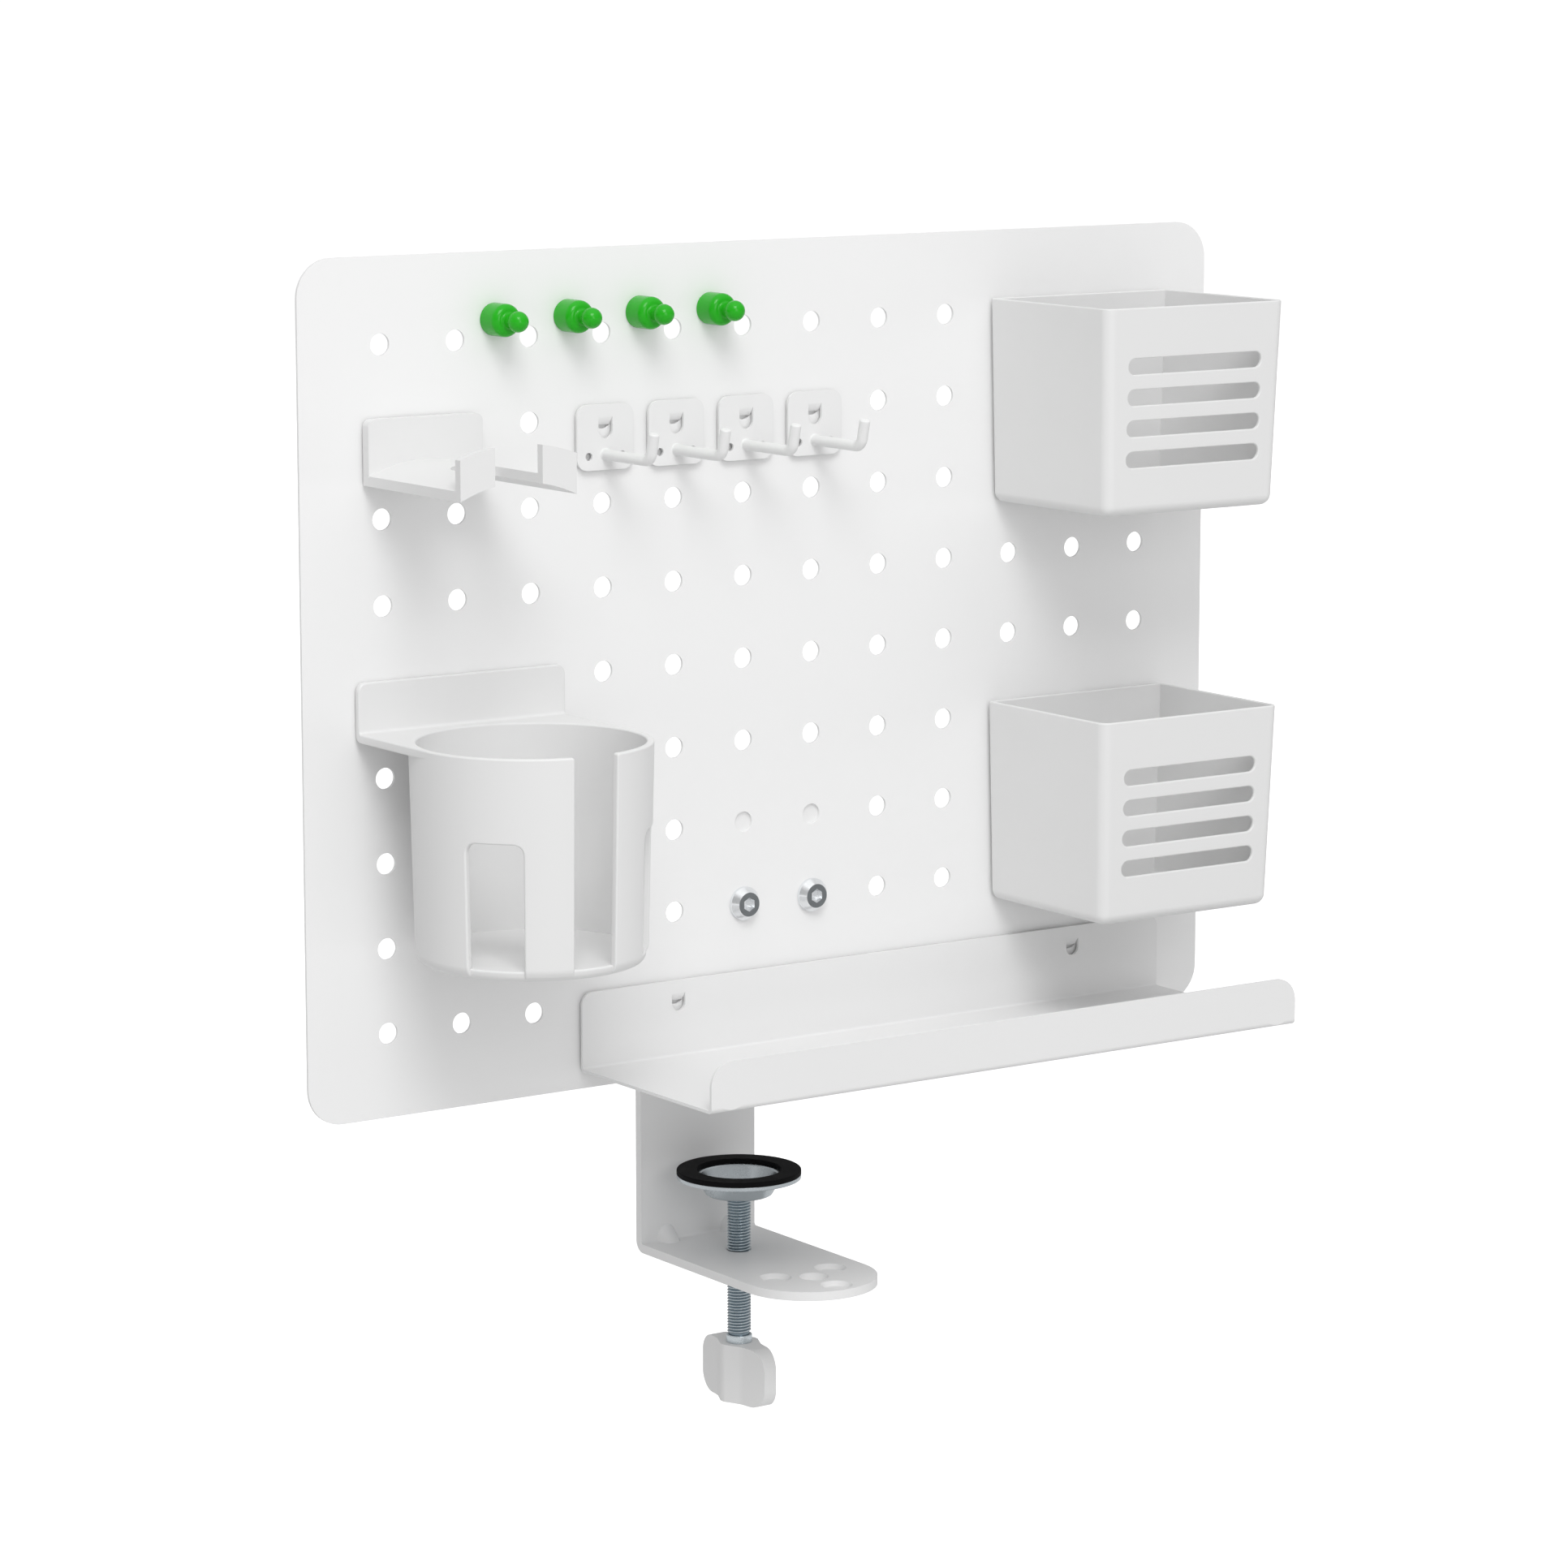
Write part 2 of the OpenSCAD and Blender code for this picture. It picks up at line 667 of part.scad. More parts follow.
module headphone_holder() {
    y_plate = y_front - phone_gap - phone_plate_t;
    y_tip = y_front - phone_reach;
    slot_r = phone_slot_w / 2;
    color("white")
    translate([(col_x(phone_col) + col_x(phone_col + 1)) / 2, 0, row_z(phone_row)]) {
        difference() {
            union() {
                upright(y_plate, phone_plate_t)
                    card(phone_w, phone_plate_rise - phone_plate_h, phone_plate_rise, 0.6, 3.5);
                upright(y_tip, phone_reach - phone_gap - skin)
                    arch(saddle_r - saddle_t, saddle_r);
                upright(y_tip, phone_lip_t)
                    arch(saddle_r - saddle_t, saddle_r + phone_lip_h);
            }
            translate([0, y_front - phone_slot_in - slot_r, -phone_plate_h - cut]) {
                cylinder(r = slot_r, h = 2 * phone_plate_h);
                translate([-slot_r, -phone_reach, 0]) cube([phone_slot_w, phone_reach, 2 * phone_plate_h]);
            }
        }
        for (s = [-1, 1]) translate([s * pitch / 2, 0, 0]) moulded_peg(y_plate + phone_plate_t / 2);
    }
}

// ---- bins ----------------------------------------------------------------------------------

// Body of a bin, moved in by m on its three free sides and raised by m at its floor
module bin_block(m, back) {
    r_top = max(bin_corner_r - m, 0.5);
    r_low = max(bin_floor_r - m, 0.5);
    half = bin_w / 2 - m;
    half_low = bin_w / 2 - bin_side_taper - m;
    front = y_front - bin_gap - bin_d + m;
    front_low = front + bin_front_taper;
    low = bin_rise - bin_h + m;
    hull() {
        for (s = [-1, 1]) {
            translate([s * (half - r_top), front + r_top, bin_rise - cut])
                cylinder(r = r_top, h = m > 0 ? 2 * cut : cut, $fn = hull_fn);
            translate([s * half - (s > 0 ? 1 : 0), back - 1, bin_rise - cut])
                cube([1, 1, m > 0 ? 2 * cut : cut]);
            translate([s * (half_low - r_low), front_low + r_low, low + r_low])
                sphere(r_low, $fn = hull_fn);
            translate([s * (half_low - r_low), back, low + r_low])
                rotate([90, 0, 0]) cylinder(r = r_low, h = 1, $fn = hull_fn);
        }
    }
}

module bin(row) {
    back = y_front - bin_gap;
    color("white")
    translate([col_x(bin_col), 0, row_z(row)]) {
        difference() {
            translate([bin_shift, 0, 0]) bin_block(0, back);
            translate([bin_shift, 0, 0]) bin_block(bin_wall, back - bin_wall);
            for (i = [0 : bin_slots - 1])
                translate([bin_shift, 0, bin_rise - bin_slot_drop - i * bin_slot_pitch])
                    upright(back - bin_d - cut, bin_front_taper + bin_wall + 2 * cut)
                        card(bin_slot_w, -bin_slot_h / 2, bin_slot_h / 2,
                            bin_slot_h / 2 - skin, bin_slot_h / 2 - skin);
        }
        for (s = [-1, 1]) translate([s * pitch, 0, 0]) moulded_peg(back - bin_wall / 2);
    }
}

// ---- cup holder ----------------------------------------------------------------------------

// Half section of the cup: leaning wall, round lower edge and floor
module cup_section() {
    rim = cup_w / 2;
    low = rim - cup_taper;
    r = cup_floor_r;
    edge = [for (i = [0 : 6]) let (a = -90 + 15 * i)
        [low - r + r * cos(a), r - cup_h + r * sin(a)]];
    polygon(concat([[0, -cup_h]], edge,
        [[rim, 0], [rim - cup_wall, 0], [low - cup_wall, cup_floor_t - cup_h], [0, cup_floor_t - cup_h]]));
}

module cup_holder() {
    y_plate = y_front - cup_gap - cup_plate_t;
    y_axis = y_front - cup_axis;
    z_rim = cup_plate_rise - cup_plate_h + cup_shelf_t;
    low_r = cup_w / 2 - cup_taper - cup_wall;
    color("white")
    translate([col_x(cup_col), 0, row_z(cup_row)]) {
        upright(y_plate, cup_plate_t)
            card(cup_w, z_rim - cup_shelf_t, cup_plate_rise, 1, cup_plate_r);
        translate([0, 0, z_rim - cup_shelf_t]) linear_extrude(cup_shelf_t) difference() {
            union() {
                translate([-cup_w / 2, y_axis]) square([cup_w, y_plate + skin - y_axis]);
                translate([0, y_axis]) circle(d = cup_w - 2 * skin);
            }
            translate([0, y_axis]) circle(d = cup_w - 2 * cup_wall);
            translate([-cup_slot_w / 2, y_axis - cup_w]) square([cup_slot_w, cup_w]);
        }
        translate([0, y_axis, z_rim]) {
            difference() {
                rotate_extrude() cup_section();
                translate([0, -cup_w, 0]) upright(0, cup_w)
                    card(cup_slot_w, -cup_h - cut, cut, 0, 0);
                for (s = [-1, 1]) rotate(s * cup_window_angle) translate([0, -cup_w, 0])
                    upright(0, cup_w) card(cup_window_w, -cup_h - cut, -cup_window_drop, 0, cup_slot_r);
            }
            translate([0, 0, -cup_h]) cylinder(r = low_r + cup_wall / 2, h = cup_floor_t);
        }
        for (s = [-1, 1]) translate([s * pitch, 0, 0]) moulded_peg(y_plate + cup_plate_t / 2);
    }
}

// ---- tray ----------------------------------------------------------------------------------

// Side view of the tray's two bends and floor
module tray_side() {
    r = tray_bend_r;
    t = sheet_t;
    back = y_front - sheet_gap;
    front = y_front - tray_reach;
    low = tray_rise - tray_back_h;
    translate([back - t - r, low + t + r]) bend(r, t, 3);
    translate([front + t + r, low]) square([back - front - 2 * (t + r), t]);
    translate([front + t + r, low + t + r]) bend(r, t, 2);
}

module tray() {
    low = tray_rise - tray_back_h;
    bend_h = sheet_t + tray_bend_r;
    mid = tray_span * pitch / 2;
    color("whitesmoke")
    translate([col_x(tray_col) + mid, 0, row_z(tray_row)]) {
        difference() {
            upright(y_front - sheet_gap - sheet_t, sheet_t)
                card(tray_w, low + bend_h - skin, tray_rise, 0, tray_back_r);
            for (s = [-1, 1]) translate([s * mid, 0, 0]) tongue_slot(hook_slot_w, tray_slot_h);
        }
        across(tray_w) tray_side();
        upright(y_front - tray_reach, sheet_t)
            card(tray_w, low + bend_h - skin, low + tray_lip_h, 0, tray_lip_r);
        for (s = [-1, 1]) translate([s * mid, 0, 0]) sheet_tongue();
    }
}

// ---- magnetic pins -------------------------------------------------------------------------

// Half section of a pin's grip, drawn outwards from the panel: base, shoulder, neck and ball
module pin_section() {
    ball_r = pin_ball_d / 2;
    ball_y = pin_len - ball_r;
    neck_r = pin_neck_d / 2;
    base_r = pin_d / 2;
    shoulder = 3.4;
    waist = ball_y - sqrt(ball_r * ball_r - neck_r * neck_r);
    start = asin(neck_r / ball_r);
    ball = [for (i = [0 : 12]) let (a = 180 - start - (180 - start) * i / 12)
        [ball_r * sin(a), ball_y + ball_r * cos(a)]];
    dome = [for (i = [0 : 6]) let (a = 15 * i)
        [neck_r + 0.9 + (base_r - neck_r - 0.9) * cos(a), pin_base_len + shoulder * sin(a)]];
    polygon(concat([[0, 0], [base_r - 0.4, 0], [base_r, 0.4]], dome,
        [[neck_r + 0.2, pin_base_len + shoulder + 0.5],
            [neck_r, (pin_base_len + shoulder + waist) / 2 + 0.4]],
        ball, [[0, pin_len]]));
}

module pin_at(i) {
    translate([col_x(pin_col + i) + pin_shift, y_front, row_z(pin_row) + pin_rise])
        rotate([90, 0, 0]) children();
}

module pin_grip(i) {
    color("limegreen")
    pin_at(i) difference() {
        rotate_extrude() pin_section();
        translate([0, 0, -cut]) cylinder(d = magnet_d + 2 * magnet_gap, h = magnet_t + cut);
    }
}

module pin_magnet(i) {
    color("silver")
    pin_at(i) cylinder(d = magnet_d, h = magnet_t);
}

panel();
clamp_bracket();
bolt(bolt_col);  // bolt_left
bolt(bolt_col + 1);  // bolt_right
bolt_washers();
bolt_nuts();
clamp_screw();
clamp_knob();
pad_dish();
pad_ring();
for (i = [0 : hook_count - 1]) {
    hook_plate(i);
    hook_rod(i);
}
headphone_holder();
bin(upper_bin_row);  // upper_bin
bin(lower_bin_row);  // lower_bin
cup_holder();
tray();
for (i = [0 : pin_count - 1]) {
    pin_grip(i);
    pin_magnet(i);
}
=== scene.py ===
import math

import bmesh
import bpy
from mathutils import Matrix, Vector


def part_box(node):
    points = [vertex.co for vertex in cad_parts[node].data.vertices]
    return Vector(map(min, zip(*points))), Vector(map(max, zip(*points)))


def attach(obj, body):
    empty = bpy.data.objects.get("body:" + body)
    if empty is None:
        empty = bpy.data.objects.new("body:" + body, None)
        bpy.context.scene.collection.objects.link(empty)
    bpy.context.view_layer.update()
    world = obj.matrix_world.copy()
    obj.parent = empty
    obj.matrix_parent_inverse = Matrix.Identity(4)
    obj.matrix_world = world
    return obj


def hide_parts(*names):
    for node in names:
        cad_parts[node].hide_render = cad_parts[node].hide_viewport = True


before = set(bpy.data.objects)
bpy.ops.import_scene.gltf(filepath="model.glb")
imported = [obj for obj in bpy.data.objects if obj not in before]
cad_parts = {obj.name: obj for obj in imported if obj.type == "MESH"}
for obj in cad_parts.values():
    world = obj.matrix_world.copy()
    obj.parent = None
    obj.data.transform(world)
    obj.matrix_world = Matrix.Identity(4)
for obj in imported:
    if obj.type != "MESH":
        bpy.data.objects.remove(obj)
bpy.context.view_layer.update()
MM = 0.001

# ---- studio --------------------------------------------------------------------------------
# A wide pale floor well below the clamp, a soft sky that is brightest overhead, a large softbox
# and a weak low one for the clamp. The camera looks from the user's left, a little above the
# panel's middle.
FLOOR_DROP = 1.6
STUDIO_R = 24.0
floor_shape = bmesh.new()
bmesh.ops.create_circle(floor_shape, cap_ends=True, segments=96, radius=STUDIO_R,
                        matrix=Matrix.Translation((0, 0, -FLOOR_DROP)))
floor_mesh = bpy.data.meshes.new("studio_floor")
floor_shape.to_mesh(floor_mesh)
floor_shape.free()
studio_floor = bpy.data.objects.new("studio_floor", floor_mesh)
studio_floor.visible_diffuse = False
studio_floor.visible_glossy = False
bpy.context.scene.collection.objects.link(studio_floor)


def soft_lamp(name, place, target, size, power):
    """A square softbox at place that faces target."""
    light = bpy.data.lights.new(name, "AREA")
    light.shape = "SQUARE"
    light.size = size
    light.energy = power
    lamp = bpy.data.objects.new(name, light)
    lamp.location = place
    lamp.rotation_euler = (Vector(target) - Vector(place)).to_track_quat("-Z", "Y").to_euler()
    bpy.context.scene.collection.objects.link(lamp)


soft_lamp("key_softbox", place=(-1.2, -2.3, 2.8), target=(0, 0, 0.15), size=1.5, power=50)
soft_lamp("low_softbox", place=(-0.7, -2.9, 0.9), target=(0, 0, 0), size=1.2, power=12)

CAMERA_PLACE = (-1.43132, -2.12965, 0.55460)
CAMERA_DOWN = math.radians(9.417)
CAMERA_TURN = math.radians(-34.868)
camera_data = bpy.data.cameras.new("camera")
camera_data.sensor_width = 36
camera_data.lens = 120.33
camera = bpy.data.objects.new("camera", camera_data)
camera.location = CAMERA_PLACE
camera.rotation_euler = (math.pi / 2 - CAMERA_DOWN, 0, CAMERA_TURN)
bpy.context.scene.collection.objects.link(camera)
bpy.context.scene.camera = camera
bpy.context.scene.view_settings.view_transform = "Standard"


class Value:
    """One socket of a node tree. Arithmetic adds Math nodes, and node() adds any other node."""

    def __init__(self, tree, socket=None):
        self.tree = tree
        self.socket = socket

    def node(self, kind, settings, inputs, output=0):
        made = self.tree.nodes.new(kind)
        for name, setting in settings.items():
            setattr(made, name, setting)
        for name, value in inputs.items():
            if isinstance(value, Value):
                self.tree.links.new(value.socket, made.inputs[name])
            else:
                made.inputs[name].default_value = value
        return Value(self.tree, made.outputs[output] if made.outputs else None)

    def math(self, operation, other=0.0, other_first=False):
        inputs = {0: other, 1: self} if other_first else {0: self, 1: other}
        return self.node("ShaderNodeMath", {"operation": operation}, inputs)

    def __add__(self, other):
        return self.math("ADD", other)

    def __sub__(self, other):
        return self.math("SUBTRACT", other)

    def __rsub__(self, other):
        return self.math("SUBTRACT", other, other_first=True)

    def __mul__(self, other):
        return self.math("MULTIPLY", other)

    __radd__ = __add__
    __rmul__ = __mul__

    def smooth(self, low, high):
        """0 below low, 1 above high, and smooth between them."""
        return self.node("ShaderNodeMapRange", {"interpolation_type": "SMOOTHSTEP"},
                         {0: self, 1: low, 2: high})

    def part(self, axis):
        """The X, Y or Z part of a vector."""
        return self.node("ShaderNodeSeparateXYZ", {}, {0: self}, output=axis)

    def noise(self, scale, detail=2.0, roughness=0.5):
        return self.node("ShaderNodeTexNoise", {},
                         {"Vector": self, "Scale": scale, "Detail": detail, "Roughness": roughness})

    def tint(self, first, second):
        """A colour between first where this is 0 and second where it is 1."""
        ends = [end if isinstance(end, Value) else (*end, 1) for end in (first, second)]
        return self.node("ShaderNodeMix", {"data_type": "RGBA"}, {0: self, 6: ends[0], 7: ends[1]},
                         output=2)


def studio_sky(direction):
    """Light of the room by direction: brightest overhead, with a white haze along the horizon."""
    height = direction.part("Z")
    overhead = (height * 0.98 - direction.part("Y") * 0.2).math("MAXIMUM", 0.0)
    sky = (overhead * overhead).tint((0.29, 0.29, 0.29), (1.15, 1.15, 1.15))
    haze = height.math("GREATER_THAN", -0.13).tint((0.70, 0.70, 0.70), (1.05, 1.05, 1.05))
    return height.math("LESS_THAN", 0.004).tint(sky, haze)


world = bpy.data.worlds.new("studio_world")
world.use_nodes = True
world.node_tree.nodes.clear()
sky_start = Value(world.node_tree)
sky_colour = studio_sky(sky_start.node("ShaderNodeTexCoord", {}, {}, output="Generated"))
sky_light = sky_start.node("ShaderNodeBackground", {}, {"Color": sky_colour, "Strength": 1.0})
sky_start.node("ShaderNodeOutputWorld", {}, {"Surface": sky_light})
bpy.context.scene.world = world


def finish(name, paint):
    """A material whose paint turns object coordinates into the Principled shader's inputs."""
    material = bpy.data.materials.new(name)
    material.use_nodes = True
    tree = material.node_tree
    tree.nodes.clear()
    start = Value(tree)
    spot = start.node("ShaderNodeTexCoord", {}, {}, output="Object")
    shader = start.node("ShaderNodeBsdfPrincipled", {}, paint(spot))
    start.node("ShaderNodeOutputMaterial", {}, {"Surface": shader})
    return material


def grained(height, depth):
    """The normal of a surface whose grain is depth metres deep where height goes from 0 to 1."""
    return height.node("ShaderNodeBump", {}, {"Height": height, "Distance": depth, "Strength": 1.0})


def floor_paint(spot):
    return {"Base Color": spot.noise(1.5).tint((0.93, 0.93, 0.93), (0.96, 0.96, 0.96)),
            "Roughness": 0.9, "Specular IOR Level": 0.1,
            "Emission Color": (1, 1, 1, 1), "Emission Strength": 0.6}


studio_floor.data.materials.append(finish("studio_paper", floor_paint))


# ---- panel ---------------------------------------------------------------------------------
# A punched and powder coated steel sheet. The punch leaves each hole's rim slightly rolled, and
# the coating flows round it and settles with a faint orange peel.
PITCH = 40 * MM
HOLE_R = 5 * MM
SHEET_EDGE = 0.3 * MM
panel_low, panel_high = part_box("panel")
FIRST_HOLE = (-5.5 * PITCH, panel_high.z - PITCH)


def powder_coat(tone):
    """Paint of one tone of satin white powder coat."""
    dark, pale = (tone * 0.985,) * 3, (tone,) * 3

    def paint(spot):
        cloud = spot.noise(9.0, 3.0)
        peel = spot.noise(620.0, 1.5)
        speck = spot.noise(2600.0, 1.0)
        return {"Base Color": (cloud * 0.7 + peel * 0.3).tint(dark, pale),
                "Roughness": 0.44 + (cloud - 0.5) * 0.14 + (speck - 0.5) * 0.06,
                "Specular IOR Level": 0.42,
                "Normal": grained(peel * 0.8 + speck * 0.2, 0.035 * MM)}
    return paint


def panel_paint(spot):
    inputs = powder_coat(0.865)(spot)
    across, up = ((spot.part(axis) - first).math("PINGPONG", PITCH / 2)
                  for axis, first in zip("XZ", FIRST_HOLE))
    reach = (across * across + up * up).math("SQRT")
    rim = 1 - reach.smooth(HOLE_R + 0.1 * MM, HOLE_R + 1.6 * MM)
    inputs["Roughness"] = inputs["Roughness"] - rim * 0.12
    return inputs


def cad_copy(node):
    """The shape of a CAD node, with its loose triangles joined into whole faces."""
    shape = bmesh.new()
    shape.from_mesh(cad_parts[node].data)
    bmesh.ops.remove_doubles(shape, verts=shape.verts, dist=0.002 * MM)
    bmesh.ops.dissolve_limit(shape, angle_limit=math.radians(0.4), use_dissolve_boundaries=False,
                             verts=shape.verts, edges=shape.edges)
    return shape


def soften(shape, width, segments=2, corner=35):
    """Rounds every edge of a shape that turns by more than corner degrees."""
    sharp = [e for e in shape.edges
             if e.is_manifold and e.calc_face_angle(0) > math.radians(corner)]
    bmesh.ops.bevel(shape, geom=sharp, affect="EDGES", offset=width, offset_type="OFFSET",
                    segments=segments, profile=0.5, material=-1, clamp_overlap=True)
    return shape


def piece(name, shape, material, body, stands_for, crease=48):
    """The finished object of a shape, riding on its body and standing for its CAD nodes."""
    mesh = bpy.data.meshes.new(name)
    shape.to_mesh(mesh)
    shape.free()
    mesh.shade_smooth()
    mesh.set_sharp_from_angle(angle=math.radians(crease))
    mesh.materials.append(material)
    made = bpy.data.objects.new(name, mesh)
    bpy.context.scene.collection.objects.link(made)
    normals = made.modifiers.new("flat_faces_stay_flat", "WEIGHTED_NORMAL")
    normals.keep_sharp = True
    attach(made, body)
    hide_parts(*stands_for)
    return made


piece("perforated_panel", soften(cad_copy("panel"), SHEET_EDGE),
      finish("panel_powder_coat", panel_paint), "panel", ["panel"])

# ---- clamp bracket -------------------------------------------------------------------------
# One strip of 4.5 mm steel, punched, bent three times and pressed with two darts in the lower
# bend and three dimples round the spare screw hole. It is coated after bending.
bracket_coat = finish("bracket_powder_coat", powder_coat(0.84))
piece("bent_clamp_bracket", soften(cad_copy("clamp_bracket"), 0.55 * MM, 3, 30),
      bracket_coat, "panel", ["clamp_bracket"])

# ---- bolts, washers and nuts ---------------------------------------------------------------
# Cold headed M8 button bolts with a cone, a plain flat top and a 6 mm hexagon socket,
# and pressed washers and nuts behind the bracket, all bright zinc plated. The bolts' paint
# puts a painted highlight on the cone and painted shade on the flat top.
BOLT_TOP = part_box("bolt_left")[0].y + 0.12 * MM
SHANK_R = 4 * MM
RIM_T = 1.8 * MM
CONE_T = 3.4 * MM
FLAT_R = 5.8 * MM
SOCKET_R = 3 * MM / math.cos(math.pi / 6)
SOCKET_DEPTH = 4 * MM


def outline(corners, steps=6):
    """Points of an outline whose corners are (x, y) or, where they are round, (x, y, radius)."""
    points = []
    for i, corner in enumerate(corners):
        here = Vector(corner[:2])
        if len(corner) == 2:
            points.append(here)
            continue
        before = (Vector(corners[i - 1][:2]) - here).normalized()
        after = (Vector(corners[(i + 1) % len(corners)][:2]) - here).normalized()
        half = before.angle(after) / 2
        centre = here + (before + after).normalized() * (corner[2] / math.sin(half))
        start = here + before * (corner[2] / math.tan(half)) - centre
        end = here + after * (corner[2] / math.tan(half)) - centre
        turn = start.angle_signed(end)
        for step in range(steps + 1):
            spoke = start.copy()
            spoke.rotate(Matrix.Rotation(-turn * step / steps, 2))
            points.append(centre + spoke)
    return points


def turned(points, axis="Z", place=Vector((0, 0, 0)), steps=72):
    """Turns a half section of (radius, height) points round an axis through place."""
    shape = bmesh.new()
    along = Vector((0, 0, 1)) if axis == "Z" else Vector((0, -1, 0))
    ring = [shape.verts.new(place + Vector((r, 0, 0)) + along * h) for r, h in points]
    edges = [shape.edges.new(pair) for pair in zip(ring, ring[1:])]
    if min(points[0][0], points[-1][0]) > 0:
        edges.append(shape.edges.new((ring[-1], ring[0])))
    bmesh.ops.spin(shape, geom=ring + edges, cent=place, axis=along, angle=2 * math.pi,
                   steps=steps, use_merge=True)
    bmesh.ops.remove_doubles(shape, verts=shape.verts, dist=0.001 * MM)
    bmesh.ops.recalc_face_normals(shape, faces=shape.faces)
    return shape


def slab(points, axis, low, high):
    """An outline made solid between two places along an axis. Its points are the other two axes."""
    shape = bmesh.new()
    lay = {"X": lambda p: (low, p[0], p[1]), "Y": lambda p: (p[0], low, p[1]),
           "Z": lambda p: (p[0], p[1], low)}[axis]
    face = shape.faces.new([shape.verts.new(lay(p)) for p in points])
    grown = bmesh.ops.extrude_face_region(shape, geom=[face])
    risen = [v for v in grown["geom"] if isinstance(v, bmesh.types.BMVert)]
    step = Vector((axis == "X", axis == "Y", axis == "Z")) * (high - low)
    bmesh.ops.translate(shape, verts=risen, vec=step)
    bmesh.ops.recalc_face_normals(shape, faces=shape.faces)
    return shape


def cut(shape, tool, operation="DIFFERENCE"):
    """The shape after a boolean with a tool shape, which is used up."""
    objects = []
    for part in (shape, tool):
        mesh = bpy.data.meshes.new("part")
        part.to_mesh(mesh)
        part.free()
        objects.append(bpy.data.objects.new("part", mesh))
        bpy.context.scene.collection.objects.link(objects[-1])
    boolean = objects[0].modifiers.new("cut", "BOOLEAN")
    boolean.operation = operation
    boolean.solver = "EXACT"
    boolean.object = objects[1]
    bpy.context.view_layer.update()
    result = bmesh.new()
    result.from_object(objects[0], bpy.context.evaluated_depsgraph_get())
    for part in objects:
        bpy.data.meshes.remove(part.data)
    bmesh.ops.remove_doubles(result, verts=result.verts, dist=0.002 * MM)
    bmesh.ops.dissolve_limit(result, angle_limit=math.radians(0.2), use_dissolve_boundaries=False,
                             verts=result.verts, edges=result.edges)
    return result


def button_bolt(node):
    """A bolt from its shank's chamfered end to its head, with one corner of the socket upwards."""
    low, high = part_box(node)
    middle = Vector(((low.x + high.x) / 2, high.y, (low.z + high.z) / 2))
    length, head_r = high.y - low.y, (high.x - low.x) / 2
    under = length - RIM_T - CONE_T
    section = outline([
        (0, 0), (SHANK_R - 0.7 * MM, 0), (SHANK_R, 0.8 * MM), (SHANK_R, under),
        (head_r, under, 0.3 * MM), (head_r, under + RIM_T, 0.45 * MM), (FLAT_R, length, 0.3 * MM),
        (0, length)], steps=4)
    corners = [(middle.x + SOCKET_R * math.sin(i * math.pi / 3),
                middle.z + SOCKET_R * math.cos(i * math.pi / 3)) for i in range(6)]
    socket = slab([Vector(corner) for corner in corners], "Y", low.y - 1 * MM, low.y + SOCKET_DEPTH)
    return soften(cut(turned(section, "Y", middle), socket), 0.14 * MM, 2, 55)


def zinc_paint(spot):
    cloud = spot.noise(60.0, 3.0)
    grain = spot.noise(1500.0, 2.0)
    return {"Base Color": cloud.tint((0.50, 0.55, 0.58), (0.62, 0.66, 0.69)), "Metallic": 1.0,
            "Roughness": 0.26 + (cloud - 0.5) * 0.16 + (grain - 0.5) * 0.10,
            "Normal": grained(grain, 0.012 * MM)}


def bolt_paint(spot):
    inputs = zinc_paint(spot)
    flat = spot.part("Y").math("LESS_THAN", BOLT_TOP)
    # The cone is painted paler than zinc as a painted highlight, and the flat top far darker as
    # painted shade.
    cone_highlight = spot.noise(300.0, 2.0).tint((0.80, 0.82, 0.84), (0.90, 0.91, 0.92))
    tone = spot.noise(3200.0, 3.0, 0.7).tint((0.13, 0.14, 0.15), (0.33, 0.35, 0.36))
    inputs["Base Color"] = flat.tint(cone_highlight, tone)
    inputs["Roughness"] = inputs["Roughness"] - 0.06 + flat * 0.26
    return inputs


zinc = finish("bright_zinc", zinc_paint)
bolt_zinc = finish("headed_zinc", bolt_paint)
for side in ("left", "right"):
    piece(f"button_bolt_{side}", button_bolt(f"bolt_{side}"),
          bolt_zinc, "panel", [f"bolt_{side}"])
piece("plain_washers", soften(cad_copy("bolt_washers"), 0.25 * MM), zinc,
      "panel", ["bolt_washers"])
piece("hexagon_nuts", soften(cad_copy("bolt_nuts"), 0.5 * MM), zinc,
      "panel", ["bolt_nuts"])

# ---- clamp screw ---------------------------------------------------------------------------
# A rolled M12 x 1.5 screw of zinc plated steel with a plain collar. Its lower end is moulded
# into the knob, and its turned upper end is riveted over inside the dished pad.
THREAD_PITCH = 1.5 * MM
THREAD_STEPS = 28
screw_low, screw_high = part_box("clamp_screw")
dish_low, dish_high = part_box("pad_dish")
knob_low, knob_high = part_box("clamp_knob")
AXIS = Vector(((screw_low.x + screw_high.x) / 2, (screw_low.y + screw_high.y) / 2, 0))
COLLAR_R = (screw_high.x - screw_low.x) / 2
COLLAR_T = 4 * MM
SCREW_R = 6 * MM
CORE_R = 5.1 * MM
END_R = 4 * MM
RIVET_R = 6.4 * MM
DISH_T = 2.1 * MM
CORE_CHAMFER = 0.6 * MM
SEAT_GAP = 0.02 * MM
THREAD_START = 0.9 * MM
THREAD_END = 1.5 * MM


